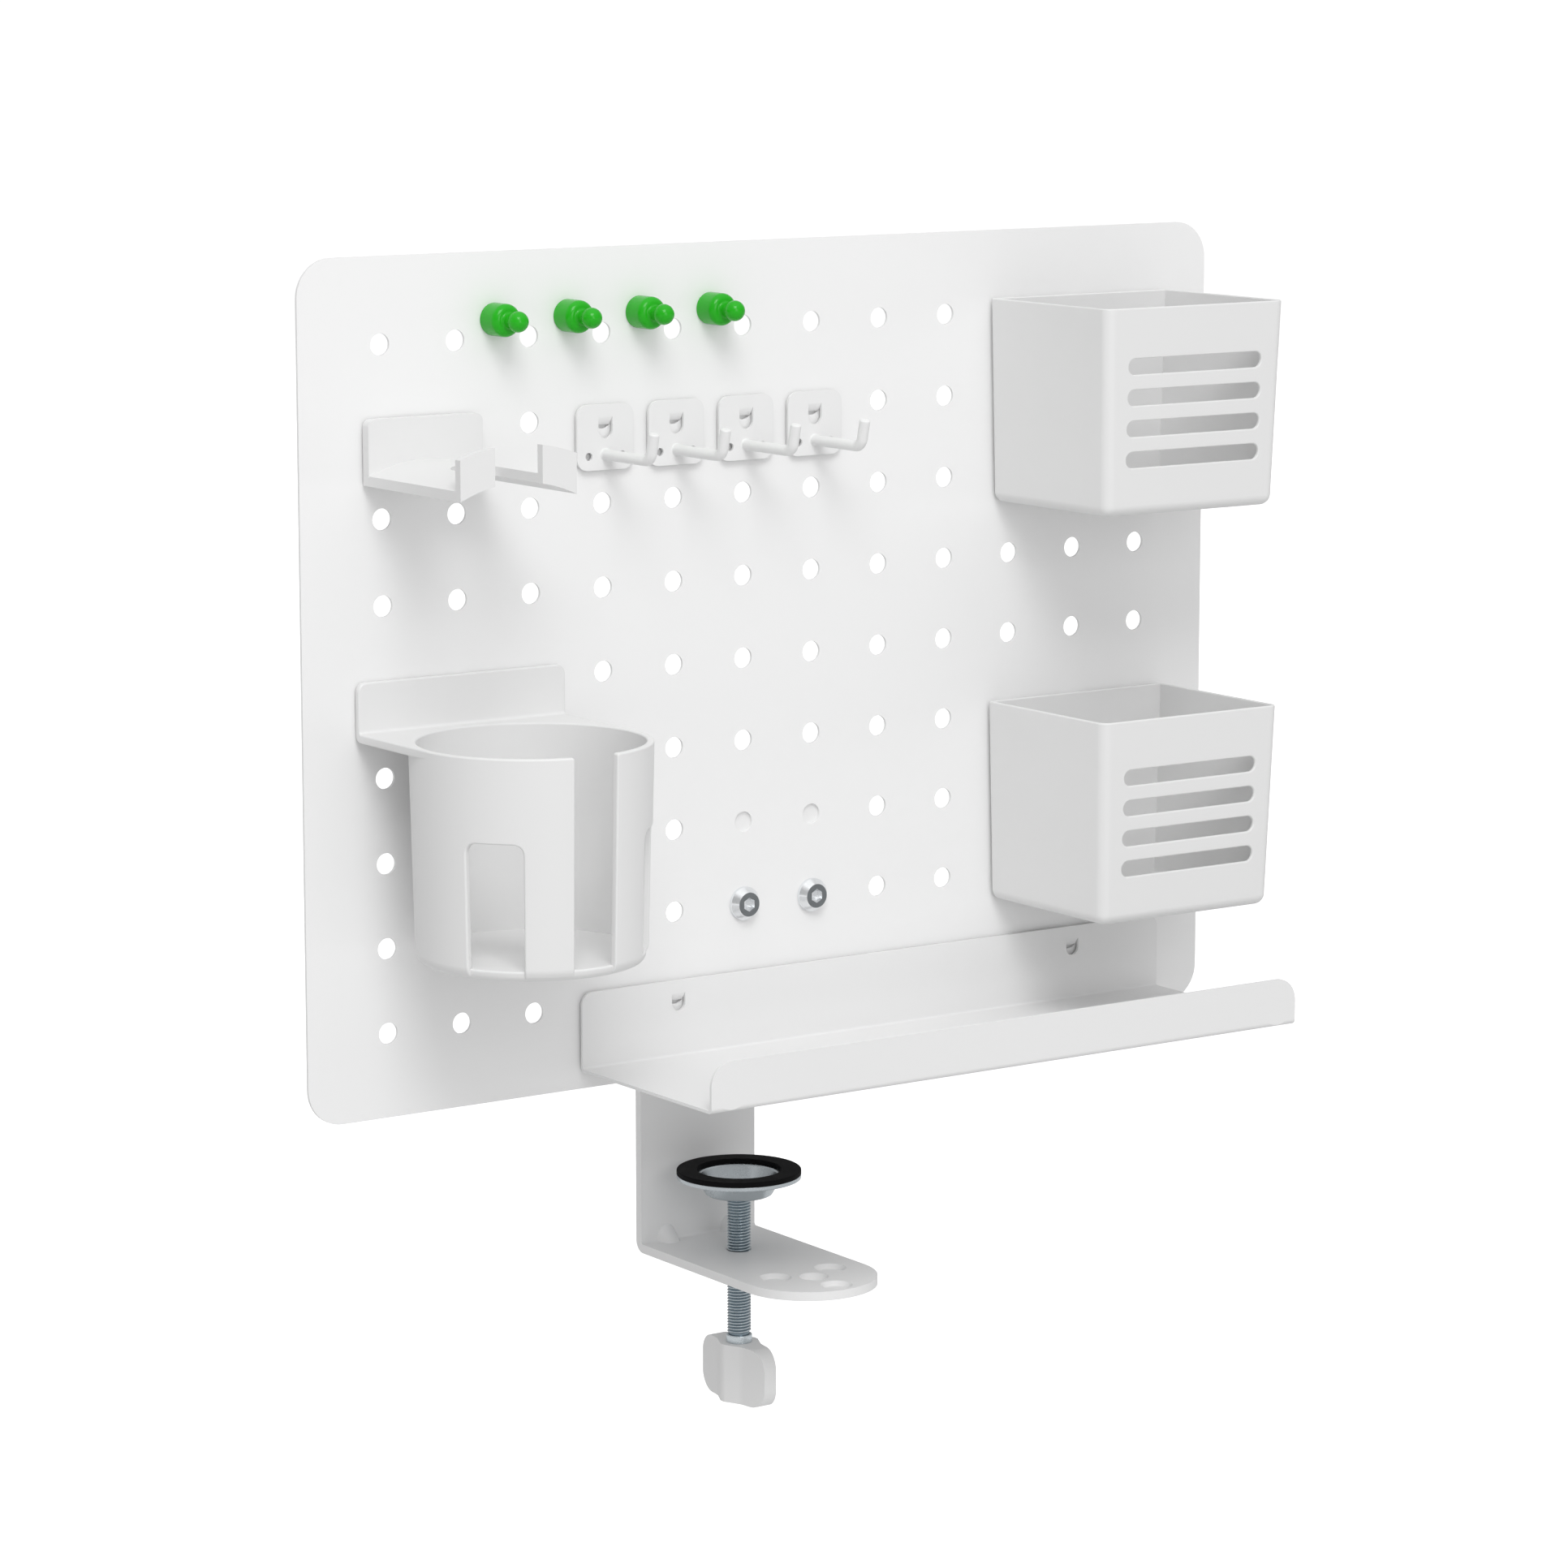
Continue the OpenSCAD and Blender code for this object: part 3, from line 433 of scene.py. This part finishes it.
def screw_ridge(shape, low, length, core, crest):
    """Adds the ridge of a right-hand thread round the screw's axis, closed at both ends."""
    half = THREAD_PITCH / 2
    section = [(core - 0.1 * MM, -half * 0.94), (crest - 0.05 * MM, -half * 0.2), (crest, 0),
               (crest - 0.05 * MM, half * 0.2), (core - 0.1 * MM, half * 0.94)]
    ring = [shape.verts.new(AXIS + Vector((r, 0, low + h))) for r, h in section]
    first = shape.faces.new(ring)
    turns = length / THREAD_PITCH
    steps = round(turns * THREAD_STEPS)
    grown = bmesh.ops.spin(shape, geom=[*ring, *first.edges], cent=AXIS, axis=(0, 0, 1),
                           dvec=(0, 0, length / steps), angle=turns * 2 * math.pi, steps=steps)
    last = [v for v in grown["geom_last"] if isinstance(v, bmesh.types.BMVert)]
    bmesh.ops.contextual_create(shape, geom=last)


def joined(*shapes):
    """One shape of several."""
    whole = bmesh.new()
    for shape in shapes:
        mesh = bpy.data.meshes.new("part")
        shape.to_mesh(mesh)
        shape.free()
        whole.from_mesh(mesh)
        bpy.data.meshes.remove(mesh)
    return whole


collar_low = knob_high.z
collar_high = collar_low + COLLAR_T
dish_under = dish_low.z
rivet_seat = dish_under + DISH_T
core_section = outline([
    (0, screw_low.z), (SCREW_R, screw_low.z, 0.5 * MM), (SCREW_R, collar_low),
    (COLLAR_R, collar_low, 0.35 * MM), (COLLAR_R, collar_high, 0.5 * MM),
    (CORE_R, collar_high), (CORE_R, dish_under - CORE_CHAMFER),
    (CORE_R - CORE_CHAMFER, dish_under - SEAT_GAP), (END_R, dish_under - SEAT_GAP),
    (END_R, rivet_seat), (RIVET_R, rivet_seat, 0.4 * MM),
    (RIVET_R - 0.7 * MM, rivet_seat + 1.5 * MM, 0.9 * MM), (2.2 * MM, screw_high.z, 1.5 * MM),
    (0, screw_high.z - 0.3 * MM)], steps=4)
screw_shape = turned(core_section, place=AXIS)
screw_ridge(screw_shape, collar_high + THREAD_START,
            dish_under - collar_high - THREAD_START - THREAD_END, CORE_R, SCREW_R)
bmesh.ops.recalc_face_normals(screw_shape, faces=screw_shape.faces)


def screw_paint(spot):
    inputs = zinc_paint(spot)
    across, along = spot.part("X") - AXIS.x, spot.part("Y") - AXIS.y
    reach = (across * across + along * along).math("SQRT")
    # The thread's roots are painted far darker than its crests: painted shade in the grooves.
    crest = reach.smooth(CORE_R + 0.1 * MM, SCREW_R - 0.1 * MM)
    crest_tone = spot.noise(90.0, 3.0).tint((0.60, 0.67, 0.71), (0.76, 0.81, 0.84))
    inputs["Base Color"] = crest.tint((0.24, 0.30, 0.34), crest_tone)
    inputs["Roughness"] = inputs["Roughness"] + 0.02
    return inputs


screw_zinc = finish("rolled_zinc", screw_paint)
piece("threaded_clamp_screw", screw_shape, screw_zinc, "clamp_screw", ["clamp_screw"], 60)

# ---- pad -----------------------------------------------------------------------------------
# A pressed, zinc plated dish that hangs on the riveted end of the screw, with a flat black
# rubber ring bonded to its rim so that it doesn't mark the desk.
PAD_R = (dish_high.x - dish_low.x) / 2
PAD_TOP = dish_high.z
MOUTH_R = 19.3 * MM
FLOOR_R = 14.5 * MM
RING_BORE_R = 20.95 * MM
HOLE_IN_DISH_R = 4.05 * MM
ring_low, ring_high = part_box("pad_ring")
dish_section = outline([
    (HOLE_IN_DISH_R, dish_under), (FLOOR_R + DISH_T * 0.9, dish_under, 2.0 * MM),
    (MOUTH_R + DISH_T * 0.8, PAD_TOP - DISH_T, 1.2 * MM), (PAD_R, PAD_TOP - DISH_T, 0.5 * MM),
    (PAD_R, PAD_TOP, 0.2 * MM), (MOUTH_R, PAD_TOP, 1.6 * MM),
    (FLOOR_R, rivet_seat, 1.2 * MM), (HOLE_IN_DISH_R, rivet_seat)], steps=5)
piece("dished_pad", turned(dish_section, place=AXIS, steps=96), zinc,
      "clamp_pad", ["pad_dish"])


def rubber_paint(spot):
    dust = spot.noise(70.0, 4.0)
    skin = spot.noise(1800.0, 2.0)
    return {"Base Color": dust.tint((0.0025, 0.0025, 0.003), (0.006, 0.006, 0.0065)),
            "Roughness": 0.75 + (dust - 0.5) * 0.2, "Specular IOR Level": 0.1,
            "Normal": grained(skin, 0.03 * MM)}


ring_section = outline([
    (RING_BORE_R, ring_low.z, 0.2 * MM), (PAD_R, ring_low.z, 0.2 * MM),
    (PAD_R, ring_high.z, 0.6 * MM), (RING_BORE_R, ring_high.z, 0.5 * MM)], steps=4)
piece("rubber_pad_ring", turned(ring_section, place=AXIS, steps=96),
      finish("black_rubber", rubber_paint), "clamp_pad", ["pad_ring"])

# ---- wing knob -----------------------------------------------------------------------------
# A white moulding round the lower end of the screw. Two wings flare out of a round hub through
# hollow waists, thin towards the tips, and their ends are round from the side.
KNOB_LEN = knob_high.y - knob_low.y
KNOB_H = knob_high.z - knob_low.z
HUB_HALF = (knob_high.x - knob_low.x) / 2
WAIST_HALF = 6.0 * MM
TIP_HALF = 3.5 * MM
WING_END_R = 10.5 * MM
KNOB_EDGE = 1.0 * MM


knob_plan = outline([
    (AXIS.x + sx * x, AXIS.y + sy * y, r)
    for sx, sy, order in ((1, -1, 1), (1, 1, -1), (-1, 1, 1), (-1, -1, -1))
    for x, y, r in [(TIP_HALF, KNOB_LEN / 2, 0.4 * MM), (WAIST_HALF, 10.4 * MM, 11 * MM),
                    (HUB_HALF * 1.01, 1.4 * MM, 3.8 * MM)][::order]], steps=8)
knob_side = outline([(AXIS.y + side * KNOB_LEN / 2, z, WING_END_R) for side, z in (
    (-1, knob_low.z), (1, knob_low.z), (1, knob_high.z), (-1, knob_high.z))], steps=14)
knob_shape = cut(slab(knob_plan, "Z", knob_low.z, knob_high.z),
                 slab(knob_side, "X", knob_low.x * 2, knob_high.x * 2), "INTERSECT")
soften(knob_shape, KNOB_EDGE, 4, 40)


def moulded(tone, grain_scale, grain_depth, roughness):
    """Paint of a white moulding: spark eroded grain, and slow changes of tone and gloss."""
    def paint(spot):
        cloud = spot.noise(14.0, 3.0)
        grain = spot.noise(grain_scale, 2.0)
        return {"Base Color": cloud.tint((tone * 0.985,) * 3, (tone, tone, tone * 0.998)),
                "Roughness": roughness + (cloud - 0.5) * 0.12 + (grain - 0.5) * 0.08,
                "Specular IOR Level": 0.4, "Normal": grained(grain, grain_depth)}
    return paint


piece("wing_knob", knob_shape, finish("knob_moulding", moulded(0.83, 1900.0, 0.02 * MM, 0.42)),
      "clamp_screw", ["clamp_knob"], 40)

# ---- wall hooks ----------------------------------------------------------------------------
# Each hook is a blanked plate with a tongue bent back out of it and a round rod butt welded to
# its front, then coated. The rod is cut square, bent up and tumbled, so its end is rounded.
ROD_R = 2.6 * MM
ROD_BEND_R = 5 * MM
ROD_BEND = math.radians(76)
ROD_TIP = 9.6 * MM
TIP_R = 0.9 * MM
WELD_LEG = 0.6 * MM
WELD_BITE = 0.3 * MM
accessory_coat = finish("accessory_powder_coat", powder_coat(0.81))


def bent_rod(node):
    """The rod of one hook, from its weld on the plate to its upturned end."""
    low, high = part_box(node)
    root = Vector(((low.x + high.x) / 2, high.y, low.z + ROD_R + 0.02 * MM))
    tip_way = Vector((0, -math.cos(ROD_BEND), math.sin(ROD_BEND)))
    bend_y = low.y + (ROD_R + ROD_BEND_R) * math.sin(ROD_BEND) + ROD_TIP * math.cos(ROD_BEND)
    shape = bmesh.new()
    bmesh.ops.create_circle(shape, cap_ends=False, segments=40, radius=ROD_R,
                            matrix=Matrix.Translation(root) @ Matrix.Rotation(math.pi / 2, 4, "X"))

    def pulled(ring, way):
        grown = bmesh.ops.extrude_edge_only(shape, edges=ring)["geom"]
        ends = [v for v in grown if isinstance(v, bmesh.types.BMVert)]
        bmesh.ops.translate(shape, verts=ends, vec=way)
        return [e for e in grown if isinstance(e, bmesh.types.BMEdge)
                and all(v in ends for v in e.verts)]

    ring = pulled(shape.edges[:], Vector((0, bend_y - root.y, 0)))
    swept = bmesh.ops.spin(shape, geom=ring, cent=(root.x, bend_y, root.z + ROD_BEND_R),
                           axis=(-1, 0, 0), angle=ROD_BEND, steps=14)["geom_last"]
    pulled([e for e in swept if isinstance(e, bmesh.types.BMEdge)], tip_way * ROD_TIP)
    caps = bmesh.ops.holes_fill(shape, edges=shape.edges, sides=0)["faces"]
    tip = max(caps, key=lambda face: face.calc_center_median().z)
    bmesh.ops.bevel(shape, geom=tip.edges[:], affect="EDGES", offset=TIP_R, offset_type="OFFSET",
                    segments=4, profile=0.5, material=-1)
    bmesh.ops.recalc_face_normals(shape, faces=shape.faces)
    weld = turned(outline([(ROD_R - WELD_BITE, -0.2 * MM), (ROD_R + WELD_LEG, 0),
                           (ROD_R + WELD_LEG * 0.35, WELD_LEG * 0.35, 0.4 * MM),
                           (ROD_R, WELD_LEG), (ROD_R - WELD_BITE, WELD_LEG)]), "Y", root, 40)
    return joined(shape, weld)


for number in range(1, 5):
    body = f"hook_{number}"
    piece(f"{body}_blanked_plate", soften(cad_copy(f"{body}_plate"), 0.35 * MM), accessory_coat,
          body, [f"{body}_plate"])
    piece(f"{body}_bent_rod", bent_rod(f"{body}_rod"), accessory_coat,
          body, [f"{body}_rod"])

# ---- headphone holder ----------------------------------------------------------------------
# One moulding: a back plate with two pegs, an arched saddle that keeps the band's curve, and a
# slot between two upturned lips. Every edge is drafted and rounded for the mould.
white_moulding = finish("accessory_moulding", moulded(0.775, 2100.0, 0.025 * MM, 0.47))
piece("headphone_saddle", soften(cad_copy("headphone_holder"), 0.9 * MM, 3, 30), white_moulding,
      "headphone_holder", ["headphone_holder"])

# ---- bins ----------------------------------------------------------------------------------
# Two equal mouldings, drafted towards the floor, with four round ended slots through the front
# wall and two pegs moulded on the back.
BIN_GAP = 2 * MM
BIN_WALL = 2 * MM
SIDE_DRAFT = 2.8 * MM
FRONT_DRAFT = 3.2 * MM
REAR_R = 2.2 * MM
CORNER_R = 5.3 * MM
SLOT_W = 82.5 * MM
SLOT_H = 7.8 * MM
SLOT_STEP = 15.05 * MM
SLOT_DROP = 28.2 * MM
PEG_W = 7.4 * MM
PEG_T = 2.6 * MM
PEG_TIP_T = 2.2 * MM
PEG_SEAT_GAP = 0.15 * MM
PEG_BACK_GAP = 0.3 * MM


def moulded_peg(column, hole_z, root):
    """A peg that goes back through the hole at a column and turns down behind the panel."""
    drop = math.sqrt(HOLE_R ** 2 - PEG_W ** 2 / 4) - PEG_SEAT_GAP
    seat = hole_z - drop
    tip = seat - 2 * drop + PEG_T
    back = panel_high.y + PEG_BACK_GAP
    side = outline([(root, seat), (back, seat), (back, tip), (back + PEG_TIP_T, tip, 1.2 * MM),
                    (back + PEG_TIP_T, seat + PEG_T, 1.0 * MM), (root, seat + PEG_T)], steps=4)
    return soften(slab(side, "X", column - PEG_W / 2, column + PEG_W / 2), 0.25 * MM)


def drafted_bin(node, columns, hole_z):
    low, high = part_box(node)
    back = panel_low.y - BIN_GAP
    shape = bmesh.new()
    bmesh.ops.create_cube(shape, size=1)
    for v in shape.verts:
        v.co.x = (low.x + high.x) / 2 + v.co.x * (high.x - low.x)
        v.co.y = back if v.co.y > 0 else low.y
        v.co.z = high.z if v.co.z > 0 else low.z
        if v.co.z < high.z:
            v.co.x += math.copysign(SIDE_DRAFT, (low.x + high.x) / 2 - v.co.x)
            v.co.y += FRONT_DRAFT if v.co.y < back else 0
    bottom = low.z + 1 * MM
    front = low.y + FRONT_DRAFT + 1 * MM
    base = [e for e in shape.edges if all(v.co.z < bottom for v in e.verts)]
    upright = [e for e in shape.edges if all(v.co.y < front for v in e.verts)
               and abs(e.verts[0].co.z - e.verts[1].co.z) > 50 * MM]
    hidden = [e for e in base if all(v.co.y > front for v in e.verts)]
    bmesh.ops.bevel(shape, geom=upright + [e for e in base if e not in hidden], affect="EDGES",
                    offset=CORNER_R, offset_type="OFFSET", segments=8, profile=0.5, material=-1)
    rear = [e for e in shape.edges if all(v.co.y > back - 0.1 * MM for v in e.verts)
            and not all(v.co.z > high.z - 0.1 * MM for v in e.verts)]
    bmesh.ops.bevel(shape, geom=rear, affect="EDGES", offset=REAR_R, offset_type="OFFSET",
                    segments=5, profile=0.5, material=-1)
    mouth = [f for f in shape.faces
             if f.normal.z > 0.9 and f.calc_center_median().z > high.z - 1 * MM]
    bmesh.ops.delete(shape, geom=mouth, context="FACES_ONLY")
    bmesh.ops.recalc_face_normals(shape, faces=shape.faces)
    bmesh.ops.solidify(shape, geom=shape.faces[:], thickness=BIN_WALL)
    middle = (low.x + high.x) / 2
    for i in range(4):
        z = high.z - SLOT_DROP - i * SLOT_STEP
        hole = outline([(middle + sx * SLOT_W / 2, z + sz * SLOT_H / 2, SLOT_H / 2.02)
                        for sx, sz in ((-1, -1), (1, -1), (1, 1), (-1, 1))], steps=10)
        shape = cut(shape, slab(hole, "Y", low.y - 5 * MM, low.y + 12 * MM))
    soften(shape, 0.75 * MM, 3, 40)
    return joined(shape, *(moulded_peg(x, hole_z, back - BIN_WALL / 2) for x in columns))


bin_columns = (FIRST_HOLE[0] + 9 * PITCH, FIRST_HOLE[0] + 11 * PITCH)
for node, row in (("upper_bin", 0), ("lower_bin", 5)):
    piece(f"{node}_moulding", drafted_bin(node, bin_columns, FIRST_HOLE[1] - row * PITCH),
          white_moulding, node, [node])

# ---- cup holder ----------------------------------------------------------------------------
# One moulding: a back plate and shelf that carry a drafted cup, open at the front for a handle
# and at both sides for windows, with a round floor inside.
CUP_GAP = 0.8 * MM
CUP_PLATE_T = 3.4 * MM
CUP_SHELF_T = 4.2 * MM
CUP_AXIS = 63.1 * MM
CUP_WALL = 3.5 * MM
CUP_DRAFT = 2.4 * MM
CUP_FLOOR_T = 5 * MM
CUP_BASE_R = 6 * MM
FRONT_SLOT_W = 22.8 * MM
WINDOW_W = 28 * MM
WINDOW_DROP = 39 * MM
WINDOW_R = 5 * MM
WINDOW_ANGLE = math.radians(50.5)
CUP_EDGE = 0.9 * MM
PLATE_DROP = 23.6 * MM
SHELF_LAP = 0.03 * MM
FLOOR_LAP = 1.3 * MM
CUP_STRIPS = 120
BORE_LAP = 2.2 * MM
PLATE_CORNER_R = 4.5 * MM


def drafted_cup(node, columns, hole_z):
    low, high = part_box(node)
    rim_r = (high.x - low.x) / 2
    middle = Vector(((low.x + high.x) / 2, panel_low.y - CUP_AXIS, 0))
    rim_z = high.z - PLATE_DROP
    cup_h = rim_z - low.z
    plate_y = panel_low.y - CUP_GAP - CUP_PLATE_T
    slot_u = rim_r * math.asin(FRONT_SLOT_W / 2 / rim_r)
    window_u = rim_r * math.asin(WINDOW_W / 2 / rim_r)
    window_at = rim_r * WINDOW_ANGLE
    far = rim_r * math.pi * 2
    wall_low = -cup_h + FLOOR_LAP
    top = -WINDOW_DROP
    windows = [(window_at - window_u, wall_low), (window_at - window_u, top, WINDOW_R),
               (window_at + window_u, top, WINDOW_R), (window_at + window_u, wall_low)]
    mirrored = [(far - c[0], *c[1:]) for c in windows[::-1]]
    sheet = slab(outline([(slot_u, 0, 1.2 * MM), (slot_u, wall_low), *windows, *mirrored,
                          (far - slot_u, wall_low), (far - slot_u, 0, 1.2 * MM)], steps=7),
                 "Y", 0, CUP_WALL)
    soften(sheet, CUP_EDGE, 3, 40)
    spacing = far / CUP_STRIPS
    for i in range(1, CUP_STRIPS):
        bmesh.ops.bisect_plane(sheet, geom=sheet.verts[:] + sheet.edges[:] + sheet.faces[:],
                               dist=0.001 * MM, plane_co=(i * spacing, 0, 0), plane_no=(1, 0, 0))
    for height in [-cup_h + CUP_BASE_R * share for share in (0.4, 0.6, 0.8, 1.0)] + [top]:
        bmesh.ops.bisect_plane(sheet, geom=sheet.verts[:] + sheet.edges[:] + sheet.faces[:],
                               dist=0.001 * MM, plane_co=(0, 0, height), plane_no=(0, 0, 1))
    for v in sheet.verts:
        u, depth, z = v.co
        outer = rim_r + CUP_DRAFT * z / cup_h
        under = CUP_BASE_R - (z + cup_h)
        if under > 0:
            outer -= (CUP_BASE_R - math.sqrt(CUP_BASE_R ** 2 - under ** 2)) * (1 - depth / CUP_WALL)
        angle = u / rim_r
        reach = outer - depth
        v.co = middle + Vector((math.sin(angle) * reach, -math.cos(angle) * reach, rim_z + z))
    bmesh.ops.recalc_face_normals(sheet, faces=sheet.faces)

    floor_r = rim_r - CUP_DRAFT - CUP_WALL / 2
    floor = turned(outline([(0, low.z), (floor_r, low.z, 4 * MM),
                            (floor_r, low.z + CUP_FLOOR_T, 0.8 * MM),
                            (0, low.z + CUP_FLOOR_T)], steps=5), "Z", middle, 96)

    angle_side = outline([(plate_y + CUP_PLATE_T, rim_z - CUP_SHELF_T, 3.6 * MM),
                          (plate_y + CUP_PLATE_T, high.z), (plate_y, high.z),
                          (plate_y, rim_z + SHELF_LAP, 1.6 * MM), (middle.y, rim_z + SHELF_LAP),
                          (middle.y, rim_z - CUP_SHELF_T)], steps=6)
    hanger = slab(angle_side, "X", low.x, high.x)
    corners = [e for e in hanger.edges if all(v.co.z > high.z - 0.1 * MM for v in e.verts)
               and abs(e.verts[0].co.x - e.verts[1].co.x) < 1 * MM]
    bmesh.ops.bevel(hanger, geom=corners, affect="EDGES", offset=PLATE_CORNER_R,
                    offset_type="OFFSET", segments=7, profile=0.5, material=-1)
    soften(hanger, CUP_EDGE, 3, 50)
    bore_r, bore_low, bore_high = rim_r - BORE_LAP, rim_z - 30 * MM, rim_z + 30 * MM
    bore = turned([(0, bore_low), (bore_r, bore_low), (bore_r, bore_high), (0, bore_high)],
                  "Z", middle, 96)
    hanger = cut(hanger, bore)
    pegs = [moulded_peg(x, hole_z, plate_y + CUP_PLATE_T / 2) for x in columns]
    return joined(sheet, floor, hanger, *pegs)


cup_columns = (FIRST_HOLE[0], FIRST_HOLE[0] + 2 * PITCH)
piece("cup_holder_moulding", drafted_cup("cup_holder", cup_columns, FIRST_HOLE[1] - 4 * PITCH),
      white_moulding, "cup_holder", ["cup_holder"])

# ---- tray ----------------------------------------------------------------------------------
# A 1.5 mm sheet blanked with round corners, bent up at the back and the front, with two tongues
# bent back out of the flange, then coated like the hooks.
piece("bent_sheet_tray", soften(cad_copy("tray"), 0.35 * MM), accessory_coat, "tray", ["tray"])

# ---- magnetic pins -------------------------------------------------------------------------
# Each pin is a polished green moulding with a ball to hold it by and a nickel plated magnet
# pressed into its base, flush with the panel.
PIN_BASE = 10 * MM
PIN_LEN = 26 * MM
BALL_R = 4.9 * MM
NECK_R = 3.3 * MM
SHOULDER = 3.4 * MM


def pin_section(low, high, pocket_r, pocket_deep):
    """Half section of a grip, from its magnet's pocket round the base, neck and ball."""
    base_r = (high.x - low.x) / 2
    ball_y = PIN_LEN - BALL_R
    start = math.asin(NECK_R / BALL_R)
    dome = [(NECK_R + 0.9 * MM + (base_r - NECK_R - 0.9 * MM) * math.cos(a),
             PIN_BASE + SHOULDER * math.sin(a))
            for a in (math.radians(9 * i) for i in range(11))]
    neck = [(NECK_R + 0.25 * MM, PIN_BASE + SHOULDER + 0.55 * MM),
            (NECK_R + 0.02 * MM, PIN_BASE + SHOULDER + 1.3 * MM)]
    ball = [(BALL_R * math.sin(a), ball_y + BALL_R * math.cos(a))
            for a in (math.pi - start - (math.pi - start) * i / 24 for i in range(25))]
    return [(0, pocket_deep), (pocket_r, pocket_deep), (pocket_r, 0), (base_r - 0.4 * MM, 0),
            (base_r - 0.12 * MM, 0.12 * MM), (base_r, 0.4 * MM), *dome, *neck, *ball]


def green_paint(spot):
    cloud = spot.noise(40.0, 3.0)
    skin = spot.noise(380.0, 2.0)
    return {"Base Color": cloud.tint((0.010, 0.36, 0.006), (0.018, 0.44, 0.010)),
            "Roughness": 0.24 + (cloud - 0.5) * 0.10, "Specular IOR Level": 0.25,
            "Coat Weight": 0.1, "Coat Roughness": 0.12, "Normal": grained(skin, 0.02 * MM)}


def nickel_paint(spot):
    cloud = spot.noise(120.0, 3.0)
    return {"Base Color": cloud.tint((0.58, 0.56, 0.52), (0.68, 0.66, 0.62)), "Metallic": 1.0,
            "Roughness": 0.22 + cloud * 0.12, "Normal": grained(spot.noise(900.0), 0.01 * MM)}


green = finish("polished_green", green_paint)
nickel = finish("nickel_plate", nickel_paint)
for number in range(1, 5):
    body = f"pin_{number}"
    low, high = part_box(f"{body}_grip")
    magnet_low, magnet_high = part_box(f"{body}_magnet")
    magnet_r = (magnet_high.x - magnet_low.x) / 2
    magnet_t = magnet_high.y - magnet_low.y
    place = Vector(((low.x + high.x) / 2, high.y, (low.z + high.z) / 2))
    section = pin_section(low, high, magnet_r + 0.05 * MM, magnet_t)
    piece(f"{body}_green_grip", turned(section, "Y", place, 64), green, body,
          [f"{body}_grip"], 40)
    disc = turned(outline([(0, 0), (magnet_r, 0, 0.25 * MM), (magnet_r, magnet_t, 0.25 * MM),
                           (0, magnet_t)], steps=3), "Y", place, 64)
    piece(f"{body}_disc_magnet", disc, nickel, body, [f"{body}_magnet"])
